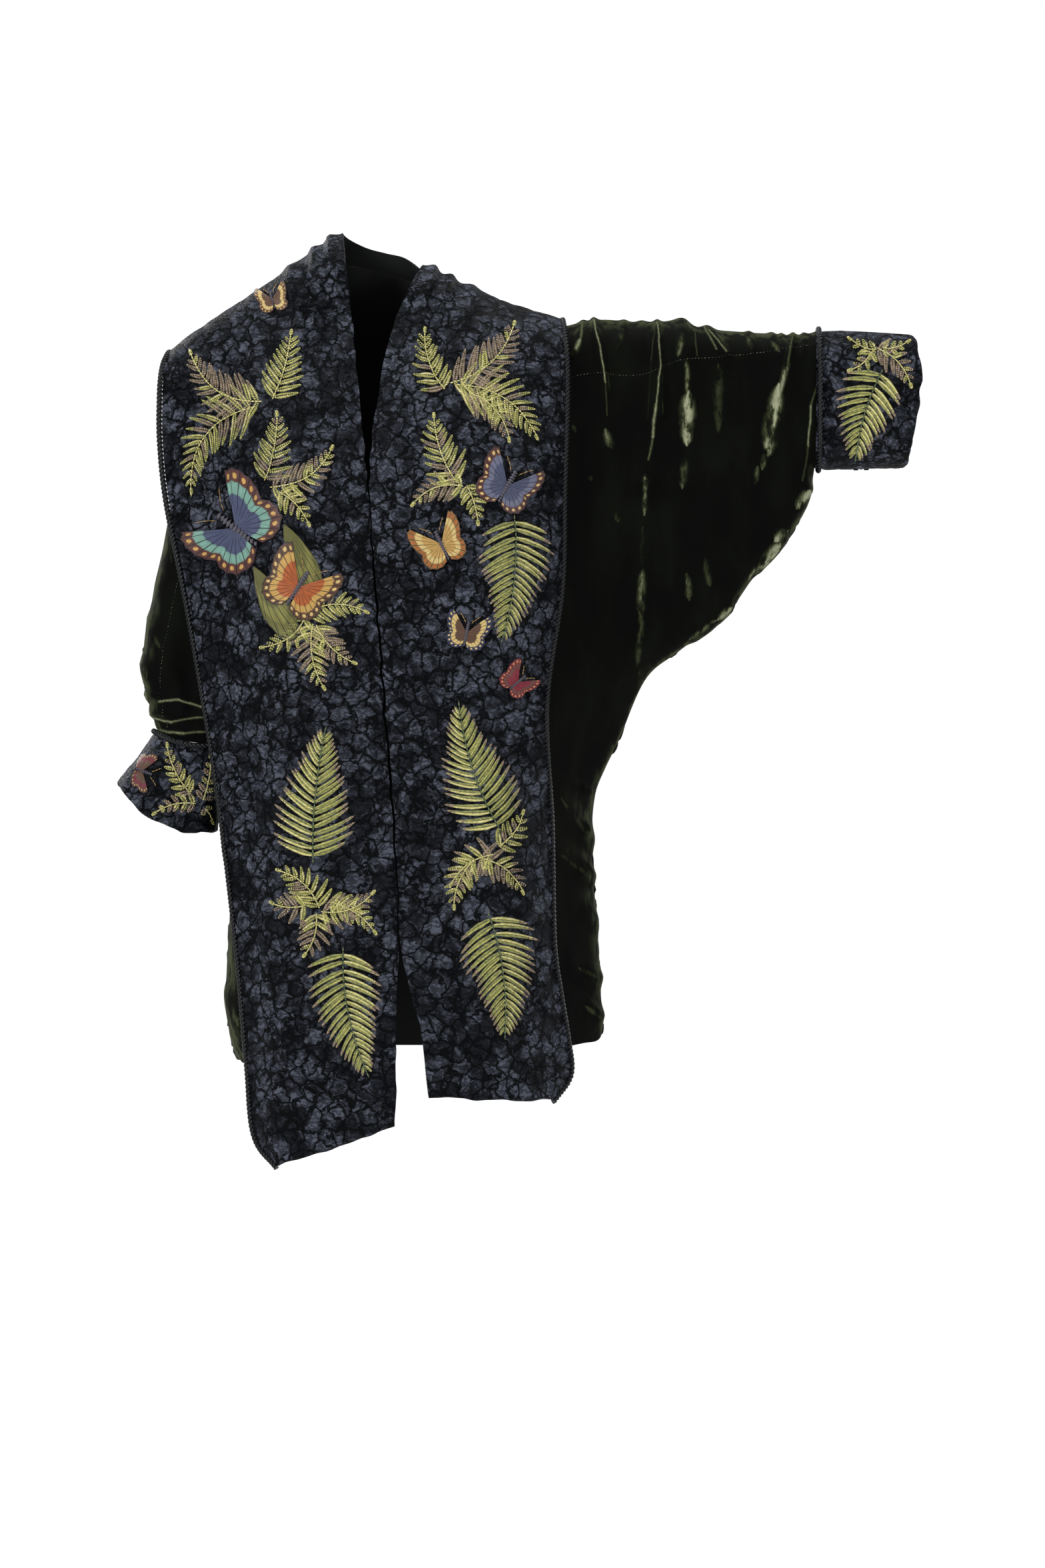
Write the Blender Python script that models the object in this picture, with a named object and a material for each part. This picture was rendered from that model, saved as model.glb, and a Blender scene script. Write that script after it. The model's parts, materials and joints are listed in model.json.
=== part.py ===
"""A worn batwing coat: velvet body and sleeves cut in one, a wide shawl band and flared cuffs with corded edges.

Every panel is a thin wall. Its outer points lie on one form, which is drawn as ribs that fan out from the
ridge over the shoulders and arms down to the hem and the underarm. All sizes are millimetres until a mesh
is made, measured from the point between the shoulders that carries the coat: x runs to the wearer's left,
y to the back and z up.
"""

import math

import bpy
import numpy as np

METRES = 0.001

# Walls and seams
VELVET = 2.0
BAND = 3.0
SEAM_GAP = 0.3
OVERARM_GAP = 0.5
STEP = 0.01

# The coat's roundness: depth of the arm's curve, of the body in front and behind, and of the hanging sleeve
ARM_DEPTH = 52.0
ARM_ROUND = 50.0
BODY_DEPTH = {"front": 150.0, "back": 160.0}
BODY_ROUND = 100.0
CHEST_DROP = 330.0
SIDE_ROUND_ARM = 50.0
SIDE_ROUND_BODY = 150.0
NECK_ARCH = 110.0

# The shawl band stands this far off the velvet, and its edges carry twisted cords
BAND_LIFT = 7.0
BAND_ARCH = 138.0
CLEARANCE = 2.0
CORD_RADIUS = 4.0
CUFF_CORD_RADIUS = 3.5
CORD_SIDES = 5
CORD_GAP = 0.6
CRINKLE = 1.2

HEM_BELOW = -1300.0
LEVEL_ROW = -500.0
UPPER_STEPS = 0.55
TORSO_RIBS = [1, 1.5, 2, 3, 4, 4.5, 4.8, 4.93, 5]
CORNER_RIB = 5
SEAM_RIB = 17
END_RIB = 19

# Each row is a rib: its top on the ridge, its foot on the hem, side seam, underarm or cuff, the outward bow
# of its middle, a further bow of the front only, and how far below the ridge the overarm seam runs.
# columns: top_x, top_z, foot_x, foot_z, bow, front_bow, seam
RIBS = {
    "left": [
        (0, 50, 0, -958, 0, 0, 0),
        (62, 36, 60, -958, 0, -50, 15),
        (112, 12, 120, -958, 0, -30, 45),
        (162, -7, 190, -955, 0, -10, 62),
        (205, -20, 252, -948, -10, 0, 70),
        (232, -25, 280, -938, -20, 0, 72),
        (255, -20, 279, -880, -20, 0, 72),
        (285, -17, 274, -790, -24, 0, 72),
        (315, -20, 268, -695, -14, 0, 72),
        (345, -20, 274, -622, 0, 0, 70),
        (372, -20, 302, -560, 0, 0, 58),
        (400, -26, 336, -482, 0, 0, 45),
        (432, -31, 380, -444, 0, 0, 38),
        (465, -33, 434, -406, 0, 0, 32),
        (497, -35, 480, -344, 0, 0, 26),
        (525, -37, 517, -305, 0, 0, 20),
        (545, -35, 543, -258, 0, 0, 18),
        (555, -32, 555, -208, 0, 0, 18),
        (615, -34, 615, -208, 3, 0, 18),
        (682, -38, 672, -206, 12, 0, 18),
    ],
    "right": [
        (0, 50, 0, -958, 0, 0, 0),
        (-58, 67, -20, -960, 0, -32, 15),
        (-105, 42, -70, -960, -10, -15, 45),
        (-150, 14, -115, -963, -28, -5, 62),
        (-190, -14, -155, -967, -48, 0, 70),
        (-218, -36, -185, -971, -65, 0, 72),
        (-224, -42, -200, -930, -70, 0, 72),
        (-229, -48, -203, -870, -70, 0, 72),
        (-234, -56, -200, -800, -67, 0, 72),
        (-239, -66, -196, -735, -64, 0, 72),
        (-244, -79, -192, -680, -60, 0, 72),
        (-249, -97, -188, -635, -55, 0, 72),
        (-255, -124, -184, -600, -48, 0, 70),
        (-262, -170, -181, -572, -30, 0, 66),
        (-273, -245, -184, -553, -12, 0, 60),
        (-290, -340, -191, -545, 0, 0, 48),
        (-311, -460, -199, -549, 3, 0, 34),
        (-292, -546, -205, -560, 8, 0, 22),
        (-316, -580, -208, -614, 14, 0, 22),
        (-343, -614, -217, -678, 22, 0, 22),
    ],
}

# Each row crosses the shawl band from its inner to its outer edge: up the front from the hem to the ridge,
# then down the back to the middle. The last column bows the row's middle upwards.
# columns: inner_x, inner_z, outer_x, outer_z, bow
BAND_ROWS = {
    "left": [
        (60, -1012, 224, -1017, 0),
        (57, -985, 246, -985, 0),
        (52, -935, 242, -940, 0),
        (37, -875, 233, -885, 0),
        (25, -815, 224, -815, 0),
        (17, -665, 221, -665, 0),
        (5, -515, 214, -515, 0),
        (-6, -365, 234, -365, 0),
        (-15, -235, 237, -240, 0),
        (-5, -120, 240, -140, 0),
        (14, -30, 240, -80, -4),
        (36, 25, 237, -42, -8),
        (49, 52, 234, -19, -8),
        (46, 48, 228, -100, -8),
        (38, 57, 180, -165, -4),
        (22, 68, 105, -203, 0),
        (0, 74, 0, -215, 0),
    ],
    "right": [
        (16, -1049, -138, -1100, 0),
        (18, -1005, -168, -1062, 0),
        (19, -915, -177, -975, 0),
        (22, -815, -188, -850, 0),
        (14, -665, -207, -690, 0),
        (2, -515, -230, -535, 0),
        (-9, -365, -259, -370, 0),
        (-18, -235, -282, -255, 0),
        (-28, -130, -290, -180, 0),
        (-37, -40, -290, -125, 0),
        (-46, 35, -287, -85, 0),
        (-52, 93, -280, -62, 0),
        (-47, 90, -262, -135, 0),
        (-36, 85, -205, -190, 0),
        (-20, 79, -120, -210, 0),
        (0, 74, 0, -215, 0),
    ],
}
RIDGE_ROW = {"left": 12, "right": 11}

# How each half differs: which way its ribs run, where the body passes into the arm, how deep the sleeve hangs,
# how far the band stands past the side, and where the band's ridge would run on past its outer corner
HALVES = {
    "left": {
        "sign": 1, "body_from": 120, "body_to": 330, "sleeve_depth": 38, "side_from": 400,
        "band_past_side": 15, "band_ridge_on": [(300, -12), (560, -20)], "fine": (16, 17),
    },
    "right": {
        "sign": -1, "body_from": 110, "body_to": 255, "sleeve_depth": 50, "side_from": 215,
        "band_past_side": 60, "band_ridge_on": [(-345, -105), (-350, -500)], "fine": (11, 16),
    },
}

# Soft folds of the velvet that hang from the arm, pull across the body or blouse over the cuff
# columns: from_x, from_z, to_x, to_z, height, width
FOLDS = {
    "left": [
        (275, -25, 283, -118, 7, 13),
        (351, -28, 336, -230, 10, 15),
        (336, -230, 328, -470, 8, 15),
        (389, -60, 390, -225, 9, 14),
        (300, -130, 290, -520, 6, 20),
        (407, -30, 437, -75, 5, 10),
        (432, -200, 398, -400, 6, 16),
        (521, -45, 496, -180, 8, 13),
        (480, -110, 455, -330, 5, 15),
        (232, -635, 268, -690, 5, 12),
        (230, -706, 262, -732, 4, 10),
        (245, -850, 276, -868, 5, 10),
    ],
    "right": [
        (-304, -512, -258, -516, 8, 11),
        (-288, -300, -275, -470, 5, 14),
        (-302, -440, -262, -490, 5, 12),
        (-198, -870, -180, -930, 5, 12),
    ],
}

# Ruched folds of the band beside the neck: place across the band, height and width in mm
# columns: across, height, width
RUCHES = [
    (0.07, 7.0, 0.030),
    (0.17, 6.0, 0.035),
    (0.29, 4.0, 0.040),
]

COLOURS = {
    "velvet": (0.010, 0.014, 0.007, 0.42),
    "jacquard": (0.012, 0.012, 0.014, 0.60),
    "cord": (0.006, 0.006, 0.007, 0.50),
}


def clear_scene():
    """Remove what is in the scene."""
    for thing in list(bpy.data.objects):
        bpy.data.objects.remove(thing, do_unlink=True)


def cloth_material(name):
    """A cloth's own colour and roughness."""
    red, green, blue, rough = COLOURS[name]
    material = bpy.data.materials.new(name)
    material.use_nodes = True
    shader = material.node_tree.nodes["Principled BSDF"]
    shader.inputs["Base Color"].default_value = (red, green, blue, 1.0)
    shader.inputs["Roughness"].default_value = rough
    shader.inputs["Metallic"].default_value = 0.0
    return material


def smooth(value):
    """Ease from 0 to 1."""
    value = np.clip(value, 0.0, 1.0)
    return value * value * (3.0 - 2.0 * value)


def quarter(value):
    """Rise from 0 to 1 along a quarter circle, then stay."""
    value = np.clip(value, 0.0, 1.0)
    return np.sqrt(1.0 - (1.0 - value) ** 2)


def both_ends(count, pull=0.85):
    """Steps from 0 to 1 that are close together at both ends."""
    step = np.linspace(0.0, 1.0, count)
    return step - pull * np.sin(2.0 * math.pi * step) / (2.0 * math.pi)


def along(table, place):
    """Read the table's columns at a place between its rows, on a smooth curve through them."""
    table = np.asarray(table, float)
    place = np.asarray(place, float)
    slope = np.gradient(table, axis=0)
    row = np.clip(np.floor(place).astype(int), 0, len(table) - 2)
    part = (place - row)[..., None]
    start, end = table[row], table[row + 1]
    first = (1 + 2 * part) * (1 - part) ** 2 * start + part * (1 - part) ** 2 * slope[row]
    second = part ** 2 * (3 - 2 * part) * end + part ** 2 * (part - 1) * slope[row + 1]
    return np.moveaxis(first + second, -1, 0)


def distance(x, z, line):
    """Shortest distance from each place to a line of points."""
    point = np.stack([x, z], axis=-1)[..., None, :]
    line = np.asarray(line, float)
    start, run = line[:-1], np.diff(line, axis=0)
    share = ((point - start) * run).sum(-1) / (run ** 2).sum(-1)
    foot = start + np.clip(share, 0.0, 1.0)[..., None] * run
    return np.linalg.norm(point - foot, axis=-1).min(-1)


def outlines(half):
    """The ridge and the side line of one half, and the ridge of the band over it."""
    rib = np.arange(1, END_RIB + 0.1, 0.25)
    places = rib_row(half, rib)
    ridge = list(zip(places[0], places[1]))
    side = list(zip(places[2], places[3]))
    first = int((CORNER_RIB - 1) / 0.25)
    corner = RIBS[half][CORNER_RIB]
    side = [(corner[2], HEM_BELOW)] + side[first:]
    band = [band_place(half, RIDGE_ROW[half], step) for step in np.linspace(0, 1, 13)]
    return arch(ridge, NECK_ARCH), side, arch(band, BAND_ARCH) + HALVES[half]["band_ridge_on"]


def bent(table, place, corner):
    """Read a table whose curve has a corner at one row."""
    first = along(table[:corner + 1], np.minimum(place, corner))
    second = along(table[corner:], np.maximum(place, corner) - corner)
    return np.where(np.asarray(place) <= corner, first, second)


def rib_row(half, rib):
    """Read the ribs' table, which turns a corner where the cuff begins."""
    return bent(RIBS[half], rib, SEAM_RIB)


def band_row(half, row):
    """Read the band's table, whose rows turn back at the ridge."""
    return bent(BAND_ROWS[half], row, RIDGE_ROW[half])


def arch(line, top):
    """Carry a ridge line on over the neck's opening, in a quarter ellipse to the middle."""
    neck_x, neck_z = line[0]
    turns = np.radians([90, 60, 30])
    return [(neck_x * math.cos(turn), neck_z + (top - neck_z) * math.sin(turn)) for turn in turns] + line


def band_place(half, row, across):
    """Where a place on the band lies in front view; across runs from its inner to its outer edge."""
    inner_x, inner_z, outer_x, outer_z, bow = band_row(half, row)
    x = inner_x + (outer_x - inner_x) * across
    z = inner_z + (outer_z - inner_z) * across + 4 * across * (1 - across) * bow
    return x, z


def fold_height(half, x, z):
    """The folds' height at each place."""
    height = np.zeros_like(x)
    for from_x, from_z, to_x, to_z, tall, width in FOLDS[half]:
        away = distance(x, z, [(from_x, from_z), (to_x, to_z)])
        height += tall * np.exp(-((away / width) ** 2))
    return height


def depth(half, x, z, face, band=False):
    """How far the coat, or the band over it, stands from the middle plane at each place."""
    own = HALVES[half]
    ridge, side, band_ridge = LINES[half]
    below = distance(x, z, band_ridge if band else ridge)
    inside = distance(x, z, side) + (own["band_past_side"] if band else 0.0)
    body = 1.0 - smooth((np.abs(x) - own["body_from"]) / (own["body_to"] - own["body_from"]))
    drop = np.sin(0.5 * math.pi * np.clip(-z / CHEST_DROP, 0.0, 1.0))
    arm = ARM_DEPTH + (BAND_LIFT if band else 0.0)
    fill = (BODY_DEPTH[face] - ARM_DEPTH) * body - (ARM_DEPTH - own["sleeve_depth"]) * (1.0 - body)
    lower = smooth((-z - 380.0) / 250.0) * smooth((own["side_from"] - np.abs(x)) / 60.0)
    side_round = SIDE_ROUND_ARM + (SIDE_ROUND_BODY - SIDE_ROUND_ARM) * lower
    folds = 0.0 if band else fold_height(half, x, z)
    full = arm * quarter(below / ARM_ROUND) + (fill * drop + folds) * quarter(below / BODY_ROUND)
    return full * quarter(inside / side_round)


def form(half, rib, fall):
    """A point of the velvet: fall is the way from the ridge down the rib, negative in front, positive behind."""
    top_x, top_z, foot_x, foot_z, bow, front_bow, _ = rib_row(half, rib)
    front = fall < 0
    run_x, run_z = foot_x - top_x, foot_z - top_z
    length = np.hypot(run_x, run_z)
    share = np.abs(fall) / length
    out = HALVES[half]["sign"] * (bow + np.where(front, front_bow, 0.0)) * 4 * share * (1 - share)
    x = top_x + run_x * share - run_z / length * out
    z = top_z + run_z * share + run_x / length * out
    front_depth = depth(half, x, z, "front")
    sewn_on = (1.0 - smooth((rib - 1.0) / 0.6)) * smooth((-z - CHEST_DROP) / 100.0)
    front_depth = front_depth + (BAND_LIFT - BAND - SEAM_GAP) * sewn_on
    y = np.where(front, -front_depth, depth(half, x, z, "back"))
    return np.stack([x, y, z], axis=-1)


def rib_length(half, rib):
    """The rib's length in front view."""
    top_x, top_z, foot_x, foot_z = rib_row(half, rib)[:4]
    return np.hypot(foot_x - top_x, foot_z - top_z)


def outward(points_at, first, second, sign):
    """The form's outward direction at each place, from two short steps across it."""
    one = points_at(first + STEP, second) - points_at(first - STEP, second)
    two = points_at(first, second + STEP) - points_at(first, second - STEP)
    normal = np.cross(one, two) * sign
    return normal / np.linalg.norm(normal, axis=-1, keepdims=True)


def flatten_edge(normal, edge):
    """Keep the wall's edge in the plane of its side seam."""
    normal[edge, 1] = 0.0
    normal[edge] /= np.linalg.norm(normal[edge], axis=-1, keepdims=True)
    return normal


def wall(name, outer, inner, material, ring=False):
    """A closed wall between two grids of points; a ring joins the last column to the first."""
    rows, columns = outer.shape[:2]
    points = np.concatenate([outer.reshape(-1, 3), inner.reshape(-1, 3)]) * METRES
    base = rows * columns
    last = columns if ring else columns - 1
    faces = []
    for row in range(rows - 1):
        for column in range(last):
            here, there = row * columns + column, row * columns + (column + 1) % columns
            up, up_there = here + columns, there + columns
            faces.append((here, there, up_there, up))
            faces.append((base + here, base + up, base + up_there, base + there))
    for column in range(last):
        there = (column + 1) % columns
        top, top_there = (rows - 1) * columns + column, (rows - 1) * columns + there
        faces.append((there, column, base + column, base + there))
        faces.append((top, top_there, base + top_there, base + top))
    if not ring:
        for row in range(rows - 1):
            here, up = row * columns, (row + 1) * columns
            far, far_up = here + columns - 1, up + columns - 1
            faces.append((here, up, base + up, base + here))
            faces.append((far_up, far, base + far, base + far_up))
    return solid(name, points, faces, material)


def solid(name, points, faces, material):
    """Make a mesh object whose faces point out."""
    mesh = bpy.data.meshes.new(name)
    mesh.from_pydata([tuple(point) for point in points], [], faces)
    mesh.validate()
    a, b, c = (points[[face[index] for face in faces]] for index in range(3))
    d = points[[face[-1] for face in faces]]
    volume = (np.cross(a, b) * c).sum() + (np.cross(a, c) * d).sum()
    if volume < 0:
        mesh.flip_normals()
    mesh.shade_smooth()
    mesh.set_sharp_from_angle(angle=math.radians(50))
    mesh.materials.append(material)
    thing = bpy.data.objects.new(name, mesh)
    bpy.context.scene.collection.objects.link(thing)
    return thing


def sleeve_ribs(half):
    """Ribs from the side seam to the cuff, closer together along the sleeve."""
    coarse = list(np.arange(CORNER_RIB + 1, SEAM_RIB + 0.1, 0.5))
    return sorted(set(coarse + list(np.arange(*HALVES[half]["fine"], 0.25))))


def falls_down(half, rib, step):
    """How far down each rib its points lie: level beside the hanging sleeve, closer at the neck and the foot."""
    _, top_z, _, foot_z, _, _, seam = rib_row(half, rib)
    length = rib_length(half, rib)
    seam = seam + OVERARM_GAP
    middle = 0.6
    if half == "right":
        level = (LEVEL_ROW - top_z) / (foot_z - top_z)
        middle = level + (middle - level) * smooth((rib - 13.0) / 3.0)
    at_neck = 1.0 + 0.9 * smooth((3.0 - rib) / 2.0)
    upper = seam + (length * middle - seam) * (step / UPPER_STEPS) ** at_neck
    lower = length * (1.0 - (1.0 - middle) * (np.clip(1.0 - step, 0.0, 1.0) / (1.0 - UPPER_STEPS)) ** 1.5)
    return np.where(step <= UPPER_STEPS, upper, lower)


def square_to_seam(half, normal):
    """Turn the wall's edge at the cuff's seam square to the way that the sleeve runs."""
    run = end_gap(half)
    normal = normal - (normal @ run)[..., None] * run
    return normal / np.linalg.norm(normal, axis=-1, keepdims=True)


def panel(half, face, material):
    """The front or back of one half, body and sleeve in one, below the overarm seam."""
    start = 1 if face == "front" else 0
    ribs = np.array(([] if start else [0, 0.5]) + TORSO_RIBS + sleeve_ribs(half))
    sign = -1 if face == "front" else 1
    rib, step = np.meshgrid(ribs, np.linspace(0.0, 1.0, 13), indexing="ij")
    length = rib_length(half, rib)
    fall = sign * falls_down(half, rib, step)

    def at(rib, fall):
        return form(half, rib, fall)

    fall_inside = sign * np.clip(np.abs(fall), 2 * STEP, length - 2 * STEP)
    normal = outward(at, rib, fall_inside, HALVES[half]["sign"])
    side_seam = (step > 0.999) & (rib >= CORNER_RIB)
    normal = flatten_edge(normal, side_seam)
    normal[-1] = square_to_seam(half, normal[-1])
    outer = at(rib, fall)
    outer[side_seam, 1] = sign * SEAM_GAP / 2
    inner = outer - normal * VELVET
    for grid in (outer, inner):
        grid[-1] -= end_gap(half) * SEAM_GAP
        if face == "back":
            grid[0, :, 0] = HALVES[half]["sign"] * SEAM_GAP / 2
    return wall(f"{face}_{half}", outer, inner, material)


def end_gap(half):
    """The direction in which the sleeve runs into the cuff."""
    here = rib_row(half, np.array([SEAM_RIB, SEAM_RIB + 1]))
    run = (here[:4, 1] - here[:4, 0]).reshape(2, 2).mean(axis=0)
    run /= np.linalg.norm(run)
    return np.array([run[0], 0.0, run[1]])


def yoke(half, material):
    """The strip over the shoulder and the arm, from the front overarm seam to the back one."""
    ribs = np.array(TORSO_RIBS + sleeve_ribs(half))
    turn = np.linspace(-1.0, 1.0, 9)
    share = np.sign(turn) * (1.0 - np.cos(0.5 * math.pi * np.abs(turn)))
    rib, share = np.meshgrid(ribs, share, indexing="ij")
    fall = rib_row(half, rib)[6] * share

    def at(rib, fall):
        return form(half, rib, fall)

    outer = at(rib, fall)
    normal = outward(at, rib, fall, HALVES[half]["sign"])
    normal[-1] = square_to_seam(half, normal[-1])
    inner = outer - normal * VELVET
    for grid in (outer, inner):
        grid[-1] -= end_gap(half) * SEAM_GAP
    return wall(f"yoke_{half}", outer, inner, material)


def ring_falls(half, rib, count):
    """Places down the front and up the back of a rib, all round the sleeve."""
    down = both_ends(count + 1, 0.75)
    around = np.concatenate([-down[:-1], down[::-1][:-1]])
    around[0] = 0.0
    return around * rib_length(half, rib)


def crinkle(along_it, across_it):
    """The puckered cloth's relief, from 0 to 1."""
    wave = np.sin(along_it / 9.0 + 2.0 * np.sin(across_it / 23.0)) * np.sin(across_it / 11.0 + along_it / 31.0)
    return 0.5 + 0.5 * wave


def cuff(half, material):
    """The flared cuff, a tube from the sleeve's end."""
    around = 13
    ribs = np.linspace(SEAM_RIB, END_RIB, 7)
    outer = np.array([form(half, np.full(2 * around, rib), ring_falls(half, rib, around)) for rib in ribs])
    falls = np.array([ring_falls(half, rib, around) for rib in ribs])
    rib = np.repeat(ribs[:, None], 2 * around, axis=1)
    low = rib_length(half, rib) - 2 * STEP
    normal = outward(lambda r, f: form(half, r, f), rib, np.clip(falls, -low, low), HALVES[half]["sign"])
    normal = flatten_edge(normal, np.abs(falls) >= low)
    normal[0] = square_to_seam(half, normal[0])
    outer[:, around, 1] = 0.0
    inner = outer - normal * BAND
    relief = CRINKLE * crinkle(rib * 60.0, falls)
    outer = outer + normal * relief[..., None] * (rib > SEAM_RIB + 0.5)[..., None]
    return wall(f"cuff_{half}", outer, inner, material, ring=True)


def band_form(half, row, across):
    """A point of the band's outer face; rows past the ridge lie behind."""
    edge = cord_room(half, row)
    x, z = band_place(half, row, across * edge)
    ridge = RIDGE_ROW[half]
    front = -depth(half, x, z, "front", band=True)
    back = depth(half, x, z, "back", band=True)
    return np.stack([x, np.where(row < ridge, front, back) * (np.abs(row - ridge) > 1e-9), z], axis=-1)


def cord_room(half, row):
    """The share of the band's width that its cloth takes, beside the cord."""
    inner_x, inner_z, outer_x, outer_z, _ = band_row(half, row)
    width = np.hypot(outer_x - inner_x, outer_z - inner_z)
    return 1.0 - (2 * CORD_RADIUS + SEAM_GAP) / width


def band_rows(half):
    """Rows up the band, close together where it turns over the shoulder."""
    ridge = RIDGE_ROW[half]
    last = len(BAND_ROWS[half]) - 1
    front = list(np.arange(0, ridge - 2.9, 0.5))
    over = list(ridge - 2.5 * (1 - np.sin(0.5 * math.pi * np.linspace(0, 1, 9)))[:-1])
    behind = list(ridge + 2.0 * (1 - np.cos(0.5 * math.pi * np.linspace(0, 1, 9))))
    rest = list(np.arange(ridge + 2.5, last + 0.1, 0.5))
    return np.array(front + over + behind + rest)


def ruche(row, across, ridge):
    """The height of the folds that gather the band beside the neck."""
    near = smooth((row - ridge + 4.5) / 2.5) * smooth((ridge + 2.5 - row) / 2.0)
    height = np.zeros_like(across)
    for place, tall, width in RUCHES:
        height += tall * np.exp(-(((across - place) / width) ** 2))
    return height * near


def band(half, material):
    """The shawl band of one half, from its hem in front to the middle of the back."""
    columns = np.concatenate([np.linspace(0, 0.34, 7), np.linspace(0.34, 1.0, 8)[1:]])
    row, across = np.meshgrid(band_rows(half), columns, indexing="ij")

    def at(row, across):
        return band_form(half, row, across)

    normal = outward(at, row, across, -HALVES[half]["sign"])
    face = at(row, across)
    lift = ruche(row, across, RIDGE_ROW[half])[..., None]
    width = 250.0 * across
    flat_edges = smooth((1.0 - across) / 0.1) * smooth(across / 0.04)
    relief = (CRINKLE * crinkle(face[..., 2], width) * flat_edges)[..., None]
    outer = face + normal * (lift + relief + CLEARANCE)
    inner = face + normal * (lift - BAND + CLEARANCE)
    for grid in (outer, inner):
        grid[-1, :, 0] = HALVES[half]["sign"] * SEAM_GAP / 2
    wall(f"band_{half}", outer, inner, material)
    middle = face + normal * (CLEARANCE - BAND / 2)
    return middle[:, -1], middle[:, -1] - middle[:, -2]


def tube(name, path, out, radius, material, ring=False, end_x=None):
    """A cord along a path, with a flat of its section towards what it is sewn to."""
    run = np.roll(path, -1, axis=0) - np.roll(path, 1, axis=0) if ring else np.gradient(path, axis=0)
    run /= np.linalg.norm(run, axis=1, keepdims=True)
    out = out - (out * run).sum(axis=1, keepdims=True) * run
    out /= np.linalg.norm(out, axis=1, keepdims=True)
    side = np.cross(run, out)
    angles = 2 * math.pi * np.arange(CORD_SIDES) / CORD_SIDES
    rings = np.stack([path + radius * (math.cos(turn) * out + math.sin(turn) * side) for turn in angles], axis=1)
    if end_x is not None:
        rings[-1, :, 0] = end_x
    count = len(path)
    faces = []
    for index in range(count if ring else count - 1):
        here, there = index * CORD_SIDES, (index + 1) % count * CORD_SIDES
        for corner in range(CORD_SIDES):
            turned = (corner + 1) % CORD_SIDES
            faces.append((here + corner, here + turned, there + turned, there + corner))
    if not ring:
        faces.append(tuple(range(CORD_SIDES))[::-1])
        faces.append(tuple((count - 1) * CORD_SIDES + corner for corner in range(CORD_SIDES)))
    return solid(name, rings.reshape(-1, 3) * METRES, faces, material)


def seat(radius):
    """How far a cord's middle lies from the edge that it is sewn to."""
    return radius * math.cos(math.pi / CORD_SIDES) + CORD_GAP


def band_cord(half, edge, across, material):
    """The twisted cord along the band's outer edge, from the hem to the middle of the back."""
    run = np.gradient(edge, axis=0)
    run /= np.linalg.norm(run, axis=1, keepdims=True)
    out = across - (across * run).sum(axis=1, keepdims=True) * run
    out /= np.linalg.norm(out, axis=1, keepdims=True)
    path = edge + out * seat(CORD_RADIUS)
    end_x = HALVES[half]["sign"] * SEAM_GAP / 2
    return tube(f"cord_band_{half}", path, out, CORD_RADIUS, material, end_x=end_x)


def cuff_cord(half, material):
    """The cord round the cuff's upper edge."""
    around = 13
    falls = ring_falls(half, SEAM_RIB + 0.08, around)
    ribs = np.full(2 * around, SEAM_RIB + 0.08)
    low = rib_length(half, ribs) - 2 * STEP
    normal = outward(lambda r, f: form(half, r, f), ribs, np.clip(falls, -low, low), HALVES[half]["sign"])
    normal = flatten_edge(normal, np.abs(falls) >= low)
    path = form(half, ribs, falls)
    path[around, 1] = 0.0
    path = path + normal * (seat(CUFF_CORD_RADIUS) + SEAM_GAP)
    return tube(f"cord_cuff_{half}", path, normal, CUFF_CORD_RADIUS, material, ring=True)


LINES = {half: outlines(half) for half in HALVES}


def build():
    """Make every piece of the coat."""
    clear_scene()
    velvet = cloth_material("velvet")
    jacquard = cloth_material("jacquard")
    cord = cloth_material("cord")
    for half in HALVES:
        yoke(half, velvet)
        panel(half, "front", velvet)
        panel(half, "back", velvet)
        cuff(half, jacquard)
        edge, across = band(half, jacquard)
        band_cord(half, edge, across, cord)
        cuff_cord(half, cord)


build()
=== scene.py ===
# %% [markdown]
# # A batwing velvet coat with an embroidered shawl band
#
# The coat hangs as it is worn: one arm is raised, the other hangs at the side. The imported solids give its
# size and place. This script dresses them: it makes every piece of cloth again as a finer shell, with its
# folds, and then adds the twisted cords, the embroidery, the stitches, the light and the camera.

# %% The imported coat
import json
import math

import bpy
import numpy as np
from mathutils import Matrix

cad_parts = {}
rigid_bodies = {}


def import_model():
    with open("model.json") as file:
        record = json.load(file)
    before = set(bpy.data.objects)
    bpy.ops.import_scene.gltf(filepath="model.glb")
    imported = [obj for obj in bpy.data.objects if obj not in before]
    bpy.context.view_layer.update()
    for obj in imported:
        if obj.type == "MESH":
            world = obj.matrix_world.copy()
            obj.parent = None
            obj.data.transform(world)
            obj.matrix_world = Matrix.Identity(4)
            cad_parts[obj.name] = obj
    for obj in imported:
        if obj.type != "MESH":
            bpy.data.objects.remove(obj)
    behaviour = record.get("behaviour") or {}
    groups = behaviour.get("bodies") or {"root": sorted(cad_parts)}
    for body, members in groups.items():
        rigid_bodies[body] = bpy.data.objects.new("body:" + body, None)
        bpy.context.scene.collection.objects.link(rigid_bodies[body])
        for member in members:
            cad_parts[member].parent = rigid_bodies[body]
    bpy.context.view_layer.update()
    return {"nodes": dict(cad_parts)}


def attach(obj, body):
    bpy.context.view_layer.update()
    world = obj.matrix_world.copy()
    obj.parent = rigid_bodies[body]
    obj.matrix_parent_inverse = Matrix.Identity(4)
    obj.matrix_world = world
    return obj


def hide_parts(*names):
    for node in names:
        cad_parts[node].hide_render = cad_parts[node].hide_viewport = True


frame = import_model()
MM = 0.001
print("nodes:", ", ".join(sorted(frame["nodes"])))

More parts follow.
